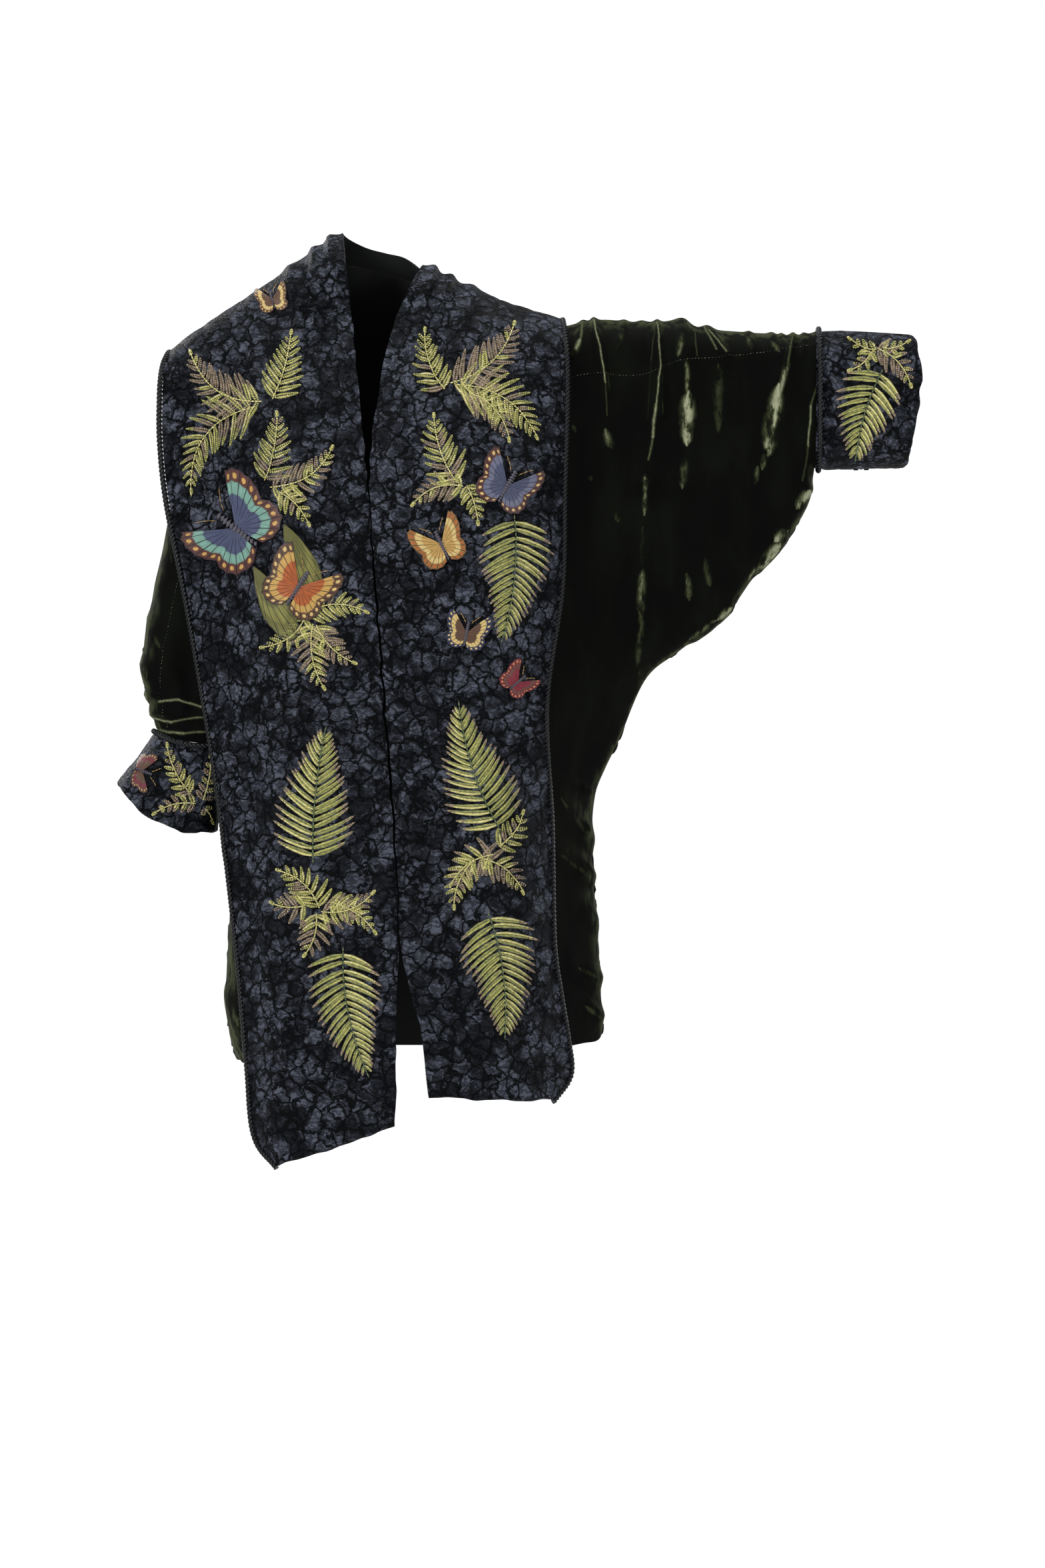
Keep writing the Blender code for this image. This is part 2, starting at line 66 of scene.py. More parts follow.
# %% [markdown]
# ## The pattern of the coat
#
# A maker cuts this coat from flat pieces, but a worn coat is easier to describe as one soft form. Each half
# is drawn as ribs, like the ribs of a fan. They start on the ridge over the shoulder and the arm, and end
# on the hem, the side seam or the underarm. The tables below hold the same sizes as the solids, in
# millimetres.

# %% The ribs and the rows of the band
# columns: top_x, top_z, foot_x, foot_z, bow, front_bow, seam
RIBS = {
    "left": [
        (0, 50, 0, -958, 0, 0, 0),
        (62, 36, 60, -958, 0, -50, 15),
        (112, 12, 120, -958, 0, -30, 45),
        (162, -7, 190, -955, 0, -10, 62),
        (205, -20, 252, -948, -10, 0, 70),
        (232, -25, 280, -938, -20, 0, 72),
        (255, -20, 279, -880, -20, 0, 72),
        (285, -17, 274, -790, -24, 0, 72),
        (315, -20, 268, -695, -14, 0, 72),
        (345, -20, 274, -622, 0, 0, 70),
        (372, -20, 302, -560, 0, 0, 58),
        (400, -26, 336, -482, 0, 0, 45),
        (432, -31, 380, -444, 0, 0, 38),
        (465, -33, 434, -406, 0, 0, 32),
        (497, -35, 480, -344, 0, 0, 26),
        (525, -37, 517, -305, 0, 0, 20),
        (545, -35, 543, -258, 0, 0, 18),
        (555, -32, 555, -208, 0, 0, 18),
        (615, -34, 615, -208, 3, 0, 18),
        (682, -38, 672, -206, 12, 0, 18),
    ],
    "right": [
        (0, 50, 0, -958, 0, 0, 0),
        (-58, 67, -20, -960, 0, -32, 15),
        (-105, 42, -70, -960, -10, -15, 45),
        (-150, 14, -115, -963, -28, -5, 62),
        (-190, -14, -155, -967, -48, 0, 70),
        (-218, -36, -185, -971, -65, 0, 72),
        (-224, -42, -200, -930, -70, 0, 72),
        (-229, -48, -203, -870, -70, 0, 72),
        (-234, -56, -200, -800, -67, 0, 72),
        (-239, -66, -196, -735, -64, 0, 72),
        (-244, -79, -192, -680, -60, 0, 72),
        (-249, -97, -188, -635, -55, 0, 72),
        (-255, -124, -184, -600, -48, 0, 70),
        (-262, -170, -181, -572, -30, 0, 66),
        (-273, -245, -184, -553, -12, 0, 60),
        (-290, -340, -191, -545, 0, 0, 48),
        (-311, -460, -199, -549, 3, 0, 34),
        (-292, -546, -205, -560, 8, 0, 22),
        (-316, -580, -208, -614, 14, 0, 22),
        (-343, -614, -217, -678, 22, 0, 22),
    ],
}

# columns: inner_x, inner_z, outer_x, outer_z, bow
BAND_ROWS = {
    "left": [
        (60, -1012, 224, -1017, 0),
        (57, -985, 246, -985, 0),
        (52, -935, 242, -940, 0),
        (37, -875, 233, -885, 0),
        (25, -815, 224, -815, 0),
        (17, -665, 221, -665, 0),
        (5, -515, 214, -515, 0),
        (-6, -365, 234, -365, 0),
        (-15, -235, 237, -240, 0),
        (-5, -120, 240, -140, 0),
        (14, -30, 240, -80, -4),
        (36, 25, 237, -42, -8),
        (49, 52, 234, -19, -8),
        (46, 48, 228, -100, -8),
        (38, 57, 180, -165, -4),
        (22, 68, 105, -203, 0),
        (0, 74, 0, -215, 0),
    ],
    "right": [
        (16, -1049, -138, -1100, 0),
        (18, -1005, -168, -1062, 0),
        (19, -915, -177, -975, 0),
        (22, -815, -188, -850, 0),
        (14, -665, -207, -690, 0),
        (2, -515, -230, -535, 0),
        (-9, -365, -259, -370, 0),
        (-18, -235, -282, -255, 0),
        (-28, -130, -290, -180, 0),
        (-37, -40, -290, -125, 0),
        (-46, 35, -287, -85, 0),
        (-52, 93, -280, -62, 0),
        (-47, 90, -262, -135, 0),
        (-36, 85, -205, -190, 0),
        (-20, 79, -120, -210, 0),
        (0, 74, 0, -215, 0),
    ],
}
RIDGE_ROW = {"left": 12, "right": 11}
SIGN = {"left": 1, "right": -1}
HALVES = {
    "left": {
        "body_from": 120, "body_to": 330, "sleeve_depth": 38, "side_from": 400,
        "band_past_side": 15, "band_ridge_on": [(300, -12), (560, -20)],
    },
    "right": {
        "body_from": 110, "body_to": 255, "sleeve_depth": 50, "side_from": 215,
        "band_past_side": 60, "band_ridge_on": [(-345, -105), (-350, -500)],
    },
}
print("ribs:", {half: len(rows) for half, rows in RIBS.items()})
print("rows of the band:", {half: len(rows) for half, rows in BAND_ROWS.items()})

# %% The roundness of the coat
# in mm: the thickness of the cloths, the gap at a seam, and the short step that finds a slope
VELVET = 2.0
BAND = 3.0
SEAM_GAP = 0.3
STEP = 0.01
# in mm: how deep the arm and the body are, and how far in from the outline they are that deep
ARM_DEPTH = 52.0
ARM_ROUND = 50.0
BODY_DEPTH = {"front": 150.0, "back": 160.0}
BODY_ROUND = 100.0
CHEST_DROP = 330.0
CHEST_EASE = 100.0
SIDE_ROUND_ARM = 50.0
SIDE_ROUND_BODY = 150.0
HIP_FROM = 380.0
HIP_EASE = 250.0
SIDE_EASE = 60.0
# in mm: the ridge over the neck, the band over the velvet, and the cords
NECK_ARCH = 110.0
BAND_LIFT = 7.0
BAND_ARCH = 138.0
CLEARANCE = 2.0
CORD_RADIUS = 4.0
CUFF_CORD_RADIUS = 3.5
HEM_BELOW = -1300.0
# ribs by their number, and steps between them
RIB_STEP = 0.25
FRONT_EDGE_RIBS = 0.6
CORNER_RIB = 5
SEAM_RIB = 17
END_RIB = 19
print("depth of the body:", sum(BODY_DEPTH.values()), "mm")

# %% [markdown]
# ## Soft noise from numpy
#
# Crumpled cloth needs an uneven height that is the same in every run. A table of random numbers with a
# fixed seed, read with eased steps between its cells, does that for any array of places.

# %% Noise with a fixed seed
NOISE_CELLS = 128
NOISE_TABLE = np.random.default_rng(41).random((8, NOISE_CELLS, NOISE_CELLS))
print("layers of noise:", len(NOISE_TABLE))


def smooth(value):
    """Ease from 0 to 1."""
    value = np.clip(value, 0.0, 1.0)
    return value * value * (3.0 - 2.0 * value)


def noise(x, z, size, layer=0):
    """Smooth noise from 0 to 1 with cells of the given size in mm."""
    across, up = x / size, z / size
    column, row = np.floor(across).astype(int), np.floor(up).astype(int)
    share_x, share_z = smooth(across - column), smooth(up - row)
    table = NOISE_TABLE[layer]
    corners = [table[(column + i) % NOISE_CELLS, (row + j) % NOISE_CELLS] for i in (0, 1) for j in (0, 1)]
    low = corners[0] * (1 - share_z) + corners[1] * share_z
    high = corners[2] * (1 - share_z) + corners[3] * share_z
    return low * (1 - share_x) + high * share_x


def creases(x, z, size, layer):
    """Soft pads parted by sharp valleys, from 0 in a valley to 1 on a pad."""
    bent_x = x + 0.5 * size * noise(x, z, size * 1.7, layer + 1)
    bent_z = z + 0.5 * size * noise(x, z, size * 1.7, layer + 2)
    return np.sqrt(np.abs(2.0 * noise(bent_x, bent_z, size, layer) - 1.0))


# %% [markdown]
# ## Folds of the velvet
#
# Silk velvet is limp. It hangs from the raised arm in a few long soft folds, blouses over the cuff of the
# arm that hangs, and pulls across the hip. Each row below is one fold: where it starts and ends in front
# view, how high it stands and how wide it is. A bell curve round each line gives it a soft cross-section.

# %% The table of folds
# columns: from_x, from_z, to_x, to_z, height, width
GATHERS = {
    "left": [
        (257, -18, 243, -75, 3.0, 5.0),
        (270, -16, 286, -120, 4.5, 5.0),
        (309, -22, 297, -62, 3.0, 6.0),
        (332, -20, 328, -70, 2.0, 6.0),
        (352, -22, 354, -140, 4.0, 4.5),
        (384, -20, 378, -72, 7.5, 12.0),
        (415, -27, 440, -66, 5.0, 7.0),
        (470, -33, 474, -60, 2.5, 5.0),
        (499, -34, 508, -66, 2.5, 5.0),
        (512, -35, 512, -60, 2.5, 4.0),
        (527, -36, 505, -120, 4.0, 4.5),
        (541, -35, 536, -70, 2.5, 4.0),
        (548, -236, 530, -262, 4.0, 9.0),
        (512, -300, 486, -340, 4.0, 9.0),
        (446, -390, 400, -424, 3.5, 8.0),
        (262, -676, 276, -700, 4.0, 8.0),
        (258, -724, 276, -738, 4.0, 7.0),
        (262, -780, 280, -800, 3.5, 8.0),
        (266, -856, 284, -868, 4.0, 8.0),
        (268, -900, 284, -916, 3.5, 7.0),
    ],
    "right": [
        (-316, -455, -300, -480, 4.0, 9.0),
        (-318, -500, -240, -506, 4.5, 6.0),
        (-312, -522, -232, -528, 5.0, 6.0),
        (-300, -540, -230, -546, 4.0, 5.0),
        (-306, -400, -286, -440, 3.0, 10.0),
        (-294, -330, -284, -380, 2.5, 10.0),
        (-205, -880, -186, -930, 3.0, 8.0),
    ],
}
# columns: from_x, from_z, to_x, to_z, height, width
FOLDS = {
    "left": [
        (275, -25, 283, -118, 7, 13),
        (351, -28, 336, -230, 10, 15),
        (336, -230, 328, -470, 8, 15),
        (389, -60, 390, -225, 9, 14),
        (300, -130, 290, -520, 6, 20),
        (407, -30, 437, -75, 5, 10),
        (432, -200, 398, -400, 6, 16),
        (521, -45, 496, -180, 8, 13),
        (480, -110, 455, -330, 5, 15),
        (232, -635, 268, -690, 5, 12),
        (230, -706, 262, -732, 4, 10),
        (245, -850, 276, -868, 5, 10),
    ],
    "right": [
        (-304, -512, -258, -516, 8, 11),
        (-288, -300, -275, -470, 5, 14),
        (-302, -440, -262, -490, 5, 12),
        (-198, -870, -180, -930, 5, 12),
    ],
}

print("folds:", {half: len(FOLDS[half]) + len(GATHERS[half]) for half in SIGN})

# %% [markdown]
# ## From the tables to a surface
#
# Every function here works on whole numpy arrays, so a fine grid of points costs no more code than one
# point. The depth of the coat grows from its outline inwards along a quarter circle, which gives the
# rounded edges of a filled sleeve and body.

# %% Curves through the tables
def quarter(value):
    """Rise from 0 to 1 along a quarter circle, then stay."""
    value = np.clip(value, 0.0, 1.0)
    return np.sqrt(1.0 - (1.0 - value) ** 2)


def along(table, place):
    """Read the table's columns at a place between its rows, on a smooth curve through them."""
    table = np.asarray(table, float)
    place = np.asarray(place, float)
    slope = np.gradient(table, axis=0)
    row = np.clip(np.floor(place).astype(int), 0, len(table) - 2)
    part = (place - row)[..., None]
    start, end = table[row], table[row + 1]
    first = (1 + 2 * part) * (1 - part) ** 2 * start + part * (1 - part) ** 2 * slope[row]
    second = part ** 2 * (3 - 2 * part) * end + part ** 2 * (part - 1) * slope[row + 1]
    return np.moveaxis(first + second, -1, 0)


def bent(table, place, corner):
    """Read a table whose curve has a corner at one row."""
    first = along(table[:corner + 1], np.minimum(place, corner))
    second = along(table[corner:], np.maximum(place, corner) - corner)
    return np.where(np.asarray(place) <= corner, first, second)


def rib_row(half, rib):
    """Read the ribs' table, which turns a corner where the cuff begins."""
    return bent(RIBS[half], rib, SEAM_RIB)


def band_row(half, row):
    """Read the band's table, whose rows turn back at the ridge."""
    return bent(BAND_ROWS[half], row, RIDGE_ROW[half])


def rib_length(half, rib):
    """The rib's length in front view."""
    top_x, top_z, foot_x, foot_z = rib_row(half, rib)[:4]
    return np.hypot(foot_x - top_x, foot_z - top_z)


print("rib at the front edge:", round(float(rib_length("left", 1)), 1), "mm")


# %% The outlines of each half
def distance(x, z, line):
    """Shortest distance from each place to a line of points."""
    nearest = np.full(np.shape(x), 1e9)
    for (start_x, start_z), (end_x, end_z) in zip(line[:-1], line[1:]):
        run_x, run_z = end_x - start_x, end_z - start_z
        share = ((x - start_x) * run_x + (z - start_z) * run_z) / (run_x ** 2 + run_z ** 2)
        share = np.clip(share, 0.0, 1.0)
        nearest = np.minimum(nearest, np.hypot(x - start_x - share * run_x, z - start_z - share * run_z))
    return nearest


def arch(line, top):
    """Carry a ridge line on over the neck's opening, in a quarter ellipse to the middle."""
    neck_x, neck_z = line[0]
    turns = np.radians([90, 60, 30])
    return [(neck_x * math.cos(turn), neck_z + (top - neck_z) * math.sin(turn)) for turn in turns] + line


def band_place(half, row, across):
    """Where a place on the band lies in front view; across runs from its inner to its outer edge."""
    inner_x, inner_z, outer_x, outer_z, bow = band_row(half, row)
    x = inner_x + (outer_x - inner_x) * across
    z = inner_z + (outer_z - inner_z) * across + 4 * across * (1 - across) * bow
    return x, z


def outlines(half):
    """The ridge and the side line of one half, and the ridge of the band over it."""
    rib = np.arange(1, END_RIB + RIB_STEP / 2, RIB_STEP)
    places = rib_row(half, rib)
    ridge = list(zip(places[0], places[1]))
    side = list(zip(places[2], places[3]))
    first = int((CORNER_RIB - 1) / RIB_STEP)
    side = [(RIBS[half][CORNER_RIB][2], HEM_BELOW)] + side[first:]
    band = [band_place(half, RIDGE_ROW[half], step) for step in np.linspace(0, 1, 13)]
    return arch(ridge, NECK_ARCH), side, arch(band, BAND_ARCH) + HALVES[half]["band_ridge_on"]


LINES = {half: outlines(half) for half in HALVES}
print("points of the outlines:", {half: [len(line) for line in LINES[half]] for half in HALVES})


# %% The depth of the coat
CRUMPLE = 1.6
CRUMPLE_SIZE = 42.0


def bells(table, x, z):
    """The height of every soft line in a table, at each place."""
    heights = []
    for from_x, from_z, to_x, to_z, tall, width in table:
        away = distance(x, z, [(from_x, from_z), (to_x, to_z)])
        heights.append(tall * np.exp(-((away / width) ** 2)))
    return heights


def gather_height(half, x, z):
    """How far the small gathers stand off the cloth, also at its outline."""
    return np.maximum.reduce(bells(GATHERS[half], x, z)) + CRUMPLE * (creases(x, z, CRUMPLE_SIZE, 4) - 0.5)


def depth(half, x, z, face, band=False):
    """How far the coat, or the band over it, stands from the middle plane at each place."""
    own = HALVES[half]
    ridge, side, band_ridge = LINES[half]
    below = distance(x, z, band_ridge if band else ridge)
    inside = distance(x, z, side) + (own["band_past_side"] if band else 0.0)
    body = 1.0 - smooth((np.abs(x) - own["body_from"]) / (own["body_to"] - own["body_from"]))
    drop = np.sin(0.5 * math.pi * np.clip(-z / CHEST_DROP, 0.0, 1.0))
    arm = ARM_DEPTH + (BAND_LIFT if band else 0.0)
    fill = (BODY_DEPTH[face] - ARM_DEPTH) * body - (ARM_DEPTH - own["sleeve_depth"]) * (1.0 - body)
    lower = smooth((-z - HIP_FROM) / HIP_EASE) * smooth((own["side_from"] - np.abs(x)) / SIDE_EASE)
    side_round = SIDE_ROUND_ARM + (SIDE_ROUND_BODY - SIDE_ROUND_ARM) * lower
    folds = 0.0 if band else sum(bells(FOLDS[half], x, z))
    full = arm * quarter(below / ARM_ROUND) + (fill * drop + folds) * quarter(below / BODY_ROUND)
    return full * quarter(inside / side_round)


def form(half, rib, fall):
    """A point of the velvet; fall is the way down the rib, negative in front, positive behind."""
    top_x, top_z, foot_x, foot_z, bow, front_bow, _ = rib_row(half, rib)
    front = fall < 0
    run_x, run_z = foot_x - top_x, foot_z - top_z
    length = np.hypot(run_x, run_z)
    share = np.abs(fall) / length
    out = SIGN[half] * (bow + np.where(front, front_bow, 0.0)) * 4 * share * (1 - share)
    x = top_x + run_x * share - run_z / length * out
    z = top_z + run_z * share + run_x / length * out
    front_depth = depth(half, x, z, "front")
    sewn_on = (1.0 - smooth((rib - 1.0) / FRONT_EDGE_RIBS)) * smooth((-z - CHEST_DROP) / CHEST_EASE)
    front_depth = front_depth + (BAND_LIFT - BAND - SEAM_GAP) * sewn_on
    y = np.where(front, -front_depth, depth(half, x, z, "back"))
    return np.stack([x, y, z], axis=-1)


def outward(points_at, first, second, sign):
    """The form's outward direction at each place, from two short steps across it."""
    one = points_at(first + STEP, second) - points_at(first - STEP, second)
    two = points_at(first, second + STEP) - points_at(first, second - STEP)
    normal = np.cross(one, two) * sign
    return normal / np.linalg.norm(normal, axis=-1, keepdims=True)


# %% [markdown]
# ## A shell of cloth
#
# Cloth has two sides. Each piece is a closed shell: a grid of outer points, a grid of inner points 2 or 3
# mm behind them, and a rim that joins the two. The outer side and the inner side get their own materials,
# because the reverse of a pile cloth is plain.

# %% A closed shell from two grids
SHARP_EDGE = math.radians(60)


def new_object(name, data):
    """A new object in the scene, at the origin."""
    thing = bpy.data.objects.new(name, data)
    bpy.context.scene.collection.objects.link(thing)
    return thing


def wall_quads(rows, columns, outer, inner, ring=False):
    """The faces of a closed wall between two grids of points; a ring joins the last column to the first."""
    points = np.concatenate([outer.reshape(-1, 3), inner.reshape(-1, 3)])
    base = rows * columns
    last = columns if ring else columns - 1
    row, column = np.meshgrid(np.arange(rows - 1), np.arange(last), indexing="ij")
    here = (row * columns + column).ravel()
    there = (row * columns + (column + 1) % columns).ravel()
    outside = np.stack([here, there, there + columns, here + columns], axis=1)
    faces = [outside, outside[:, ::-1] + base]
    side = np.arange(last)
    next_side = (side + 1) % columns
    top = (rows - 1) * columns
    faces.append(np.stack([next_side, side, base + side, base + next_side], axis=1))
    faces.append(np.stack([top + side, top + next_side, base + top + next_side, base + top + side], axis=1))
    if not ring:
        start = np.arange(rows - 1) * columns
        end = start + columns - 1
        faces.append(np.stack([start, start + columns, base + start + columns, base + start], axis=1))
        faces.append(np.stack([end + columns, end, base + end, base + end + columns], axis=1))
    quads = np.concatenate(faces)
    a, b, c, d = (points[quads[:, corner]] for corner in range(4))
    volume = (np.cross(a, b) * c).sum() + (np.cross(a, c) * d).sum()
    return quads[:, ::-1] if volume < 0 else quads


def shell(name, outer, inner, ring=False):
    """A closed wall of cloth from two grids of points in mm."""
    rows, columns = outer.shape[:2]
    points = np.concatenate([outer.reshape(-1, 3), inner.reshape(-1, 3)]) * MM
    quads = wall_quads(rows, columns, outer, inner, ring)
    mesh = bpy.data.meshes.new(name)
    mesh.from_pydata(points.tolist(), [], quads.tolist())
    cells = (rows - 1) * (columns if ring else columns - 1)
    inside = np.zeros(len(quads), dtype=np.int32)
    inside[cells:2 * cells] = 1
    mesh.polygons.foreach_set("material_index", inside)
    mesh.shade_smooth()
    mesh.set_sharp_from_angle(angle=SHARP_EDGE)
    return new_object(name, mesh)


def dress(thing, node, materials):
    """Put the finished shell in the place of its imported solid."""
    for material in materials:
        thing.data.materials.append(material)
    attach(thing, "root")
    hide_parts(node)


def area_of(points):
    """The area of a grid of points in mm, in square metres."""
    one = points[1:, :-1] - points[:-1, :-1]
    two = points[:-1, 1:] - points[:-1, :-1]
    return float(np.linalg.norm(np.cross(one, two), axis=-1).sum()) * MM * MM


# %% [markdown]
# ## Colours
#
# Colours are easier to pick as the numbers of a picture, 0 to 255. Blender computes with linear light, so a
# small function turns one into the other.

# %% A colour helper
def picked(red, green, blue):
    """A linear colour from a picture's own numbers."""
    def linear(value):
        value = value / 255.0
        return value / 12.92 if value <= 0.04045 else ((value + 0.055) / 1.055) ** 2.4
    return (linear(red), linear(green), linear(blue), 1.0)


print("a mid grey is", round(picked(128, 128, 128)[0], 3))

# %% [markdown]
# Materials, node groups and Geometry Nodes trees are all trees of nodes. One small class adds the nodes and
# joins them. Two classes built on it start a material and a node group.


# %% A node helper
class Nodes:
    """Makes and joins the nodes of one tree."""

    def __init__(self, tree):
        self.tree = tree

    def add(self, kind, settings=None, **values):
        """Add a node with its settings, and set or link its inputs by name."""
        node = self.tree.nodes.new(kind)
        for key, value in (settings or {}).items():
            setattr(node, key, value)
        for key, value in values.items():
            self.put(node.inputs[key.replace("_", " ")], value)
        return node

    def put(self, socket, value):
        """Link a socket, or set a plain value."""
        if isinstance(value, bpy.types.NodeSocket):
            self.tree.links.new(value, socket)
        else:
            socket.default_value = value

    def math(self, operation, *values, clamp=False):
        """A Math node."""
        node = self.add("ShaderNodeMath", {"operation": operation, "use_clamp": clamp})
        for socket, value in zip(node.inputs, values):
            self.put(socket, value)
        return node.outputs[0]

    def times(self, one, two):
        """One value times another."""
        return self.math("MULTIPLY", one, two)

    def plus(self, one, two):
        """One value and another together."""
        return self.math("ADD", one, two)

    def vector(self, operation, one, *others):
        """A Vector Math node; SCALE takes a number, the others take vectors."""
        node = self.add("ShaderNodeVectorMath", {"operation": operation})
        self.put(node.inputs[0], one)
        for socket, value in zip(("Scale",) if operation == "SCALE" else (1, 2), others):
            self.put(node.inputs[socket], value)
        return node.outputs["Value" if operation in ("DOT_PRODUCT", "LENGTH") else "Vector"]

    def mix(self, factor, one, two, kind="RGBA"):
        """A colour between two, by a factor, or a vector."""
        node = self.add("ShaderNodeMix", {"data_type": kind})
        first, result = (6, 2) if kind == "RGBA" else (4, 1)
        for index, value in ((0, factor), (first, one), (first + 1, two)):
            self.put(node.inputs[index], value)
        return node.outputs[result]

    def ramp(self, value, low, high):
        """A value stretched so that low becomes 0 and high becomes 1."""
        eased = {"interpolation_type": "SMOOTHSTEP"}
        return self.add("ShaderNodeMapRange", eased, Value=value, From_Min=low, From_Max=high).outputs[0]

    def noise(self, place, scale, detail, roughness=0.5, output="Fac"):
        """A noise texture, with so many blotches a metre."""
        values = {"Vector": place, "Scale": scale, "Detail": detail, "Roughness": roughness}
        return self.add("ShaderNodeTexNoise", **values).outputs[output]

    def stored(self, name, output="Color"):
        """A value or a colour that the mesh carries."""
        return self.add("ShaderNodeAttribute", {"attribute_name": name}).outputs[output]

    def bump(self, height, strength, distance_mm, under=None):
        """A Bump node's normal; under is the normal of a coarser one."""
        values = {"Height": height, "Strength": strength, "Distance": distance_mm * MM}
        if under is not None:
            values["Normal"] = under
        return self.add("ShaderNodeBump", **values).outputs["Normal"]


# %% Materials and node groups
class Material(Nodes):
    """A new material, with its shader."""

    def __init__(self, name):
        self.material = bpy.data.materials.new(name)
        self.material.use_nodes = True
        super().__init__(self.material.node_tree)
        self.shader = self.tree.nodes["Principled BSDF"]

    def place(self):
        """The place on the object, in metres."""
        return self.add("ShaderNodeTexCoord").outputs["Object"]

    def surface(self, **values):
        """Set or link inputs of the shader, and give back the material."""
        for key, value in values.items():
            self.put(self.shader.inputs[key.replace("_", " ")], value)
        return self.material


class Group(Nodes):
    """A new node group with named inputs, each with its kind and its default, and one output."""

    def __init__(self, name, kind, inputs, output):
        super().__init__(bpy.data.node_groups.new(name, kind))
        for title, socket, default in inputs:
            made = self.tree.interface.new_socket(title, in_out="INPUT", socket_type=f"NodeSocket{socket}")
            if default is not None:
                made.default_value = default
        title, socket = output
        self.tree.interface.new_socket(title, in_out="OUTPUT", socket_type=f"NodeSocket{socket}")
        self.given = self.add("NodeGroupInput").outputs
        self.result = self.add("NodeGroupOutput").inputs[0]

    def finish(self, geometry, material):
        """Make the instances real, give them their material and put them out."""
        real = self.add("GeometryNodeRealizeInstances", Geometry=geometry).outputs[0]
        coated = self.add("GeometryNodeSetMaterial", Geometry=real, Material=material).outputs[0]
        self.put(self.result, coated)
        return self.tree


# %% [markdown]
# ## Crushed silk velvet
#
# The pile of silk velvet swallows light where it stands up, so the cloth is nearly black. Where it is
# crushed or folded over, the pile lies flat and is paler: the pale olive grey streaks are partly crushed pile
# and partly painted highlights along fold crests. The table gives the place of each streak in millimetres,
# the material draws it there, and noise gives it ragged edges. A faint painted sheen, by the angle from
# which the cloth is seen, paints the soft light that pile has at its turned edges.

# %% Where the pile is crushed, and the painted highlights of fold crests
# columns: from_x, from_z, to_x, to_z, half_width, strength
STREAKS = {
    "left": [
        (256, -20, 253, -43, 2.4, 0.7),
        (253, -43, 243, -71, 4.5, 0.75),
        (270, -17, 280, -71, 1.7, 0.95),
        (280, -71, 285, -102, 1.6, 1.0),
        (285, -102, 287, -143, 1.3, 0.5),
        (284, -160, 292, -184, 6.5, 0.62),
        (243, -157, 247, -166, 4.0, 0.35),
        (309, -30, 297, -60, 5.5, 0.5),
        (349, -23, 343, -74, 1.2, 0.4),
        (343, -74, 339, -147, 1.2, 0.24),
        (352, -23, 355, -79, 1.7, 0.9),
        (355, -79, 350, -130, 1.8, 1.0),
        (350, -130, 345, -170, 2.6, 1.05),
        (345, -170, 340, -200, 2.2, 0.7),
        (337, -218, 335, -246, 4.4, 0.85),
        (336, -240, 334, -272, 4.2, 0.75),
        (333, -285, 331, -340, 4.2, 0.34),
        (332, -340, 330, -402, 7.5, 0.66),
        (330, -385, 328, -475, 6.5, 0.42),
        (386, -34, 377, -68, 6.5, 0.62),
        (400, -31, 402, -66, 1.5, 0.5),
        (389, -68, 389, -120, 4.2, 0.66),
        (391, -112, 388, -182, 10.5, 1.15),
        (386, -196, 384, -236, 5.5, 0.6),
        (429, -78, 430, -166, 8.5, 0.36),
        (412, -27, 426, -58, 2.0, 0.75),
        (418, -31, 440, -61, 2.2, 0.8),
        (466, -40, 474, -56, 5.0, 0.5),
        (496, -46, 508, -62, 5.0, 0.55),
        (527, -36, 517, -79, 2.0, 0.6),
        (520, -66, 506, -122, 5.0, 0.85),
        (506, -104, 492, -196, 11.0, 1.1),
        (491, -180, 486, -212, 5.0, 0.6),
        (480, -208, 478, -232, 4.4, 0.5),
        (556, -106, 548, -130, 1.8, 0.6),
        (548, -130, 545, -181, 1.9, 0.95),
        (545, -181, 538, -226, 1.8, 0.5),
        (266, -220, 268, -228, 4.0, 0.4),
        (297, -264, 300, -280, 4.6, 0.5),
        (389, -344, 392, -380, 5.5, 0.72),
        (413, -325, 418, -362, 5.5, 0.45),
        (549, -238, 530, -262, 9.0, 1.1),
        (520, -290, 502, -304, 8.0, 0.95),
        (509, -306, 486, -338, 10.0, 1.05),
        (487, -330, 470, -352, 6.0, 0.8),
        (448, -388, 430, -404, 7.0, 0.85),
        (428, -404, 392, -430, 5.0, 0.6),
        (388, -434, 352, -464, 4.5, 0.5),
        (228, -632, 272, -692, 4.5, 0.3),
        (226, -704, 264, -734, 4.5, 0.28),
        (250, -850, 280, -868, 4.5, 0.36),
        (258, -900, 282, -918, 4.5, 0.4),
        (262, -800, 276, -826, 4.0, 0.25),
    ],
    "right": [
        (-287, -510, -262, -507, 2.2, 0.9),
        (-262, -507, -230, -516, 2.0, 0.9),
        (-298, -530, -273, -536, 2.2, 0.95),
        (-273, -536, -228, -529, 2.0, 0.8),
        (-310, -488, -298, -530, 2.4, 0.8),
        (-292, -545, -256, -551, 2.4, 0.9),
        (-256, -551, -226, -549, 2.0, 0.8),
        (-313, -455, -305, -480, 5.0, 0.55),
        (-300, -420, -285, -440, 5.0, 0.3),
        (-296, -330, -290, -395, 3.0, 0.35),
        (-280, -260, -272, -330, 3.0, 0.25),
        (-200, -845, -188, -870, 5.0, 0.35),
        (-196, -900, -184, -925, 7.0, 0.55),
        (-188, -935, -176, -950, 5.0, 0.4),
    ],
}

print("streaks:", {half: len(rows) for half, rows in STREAKS.items()})
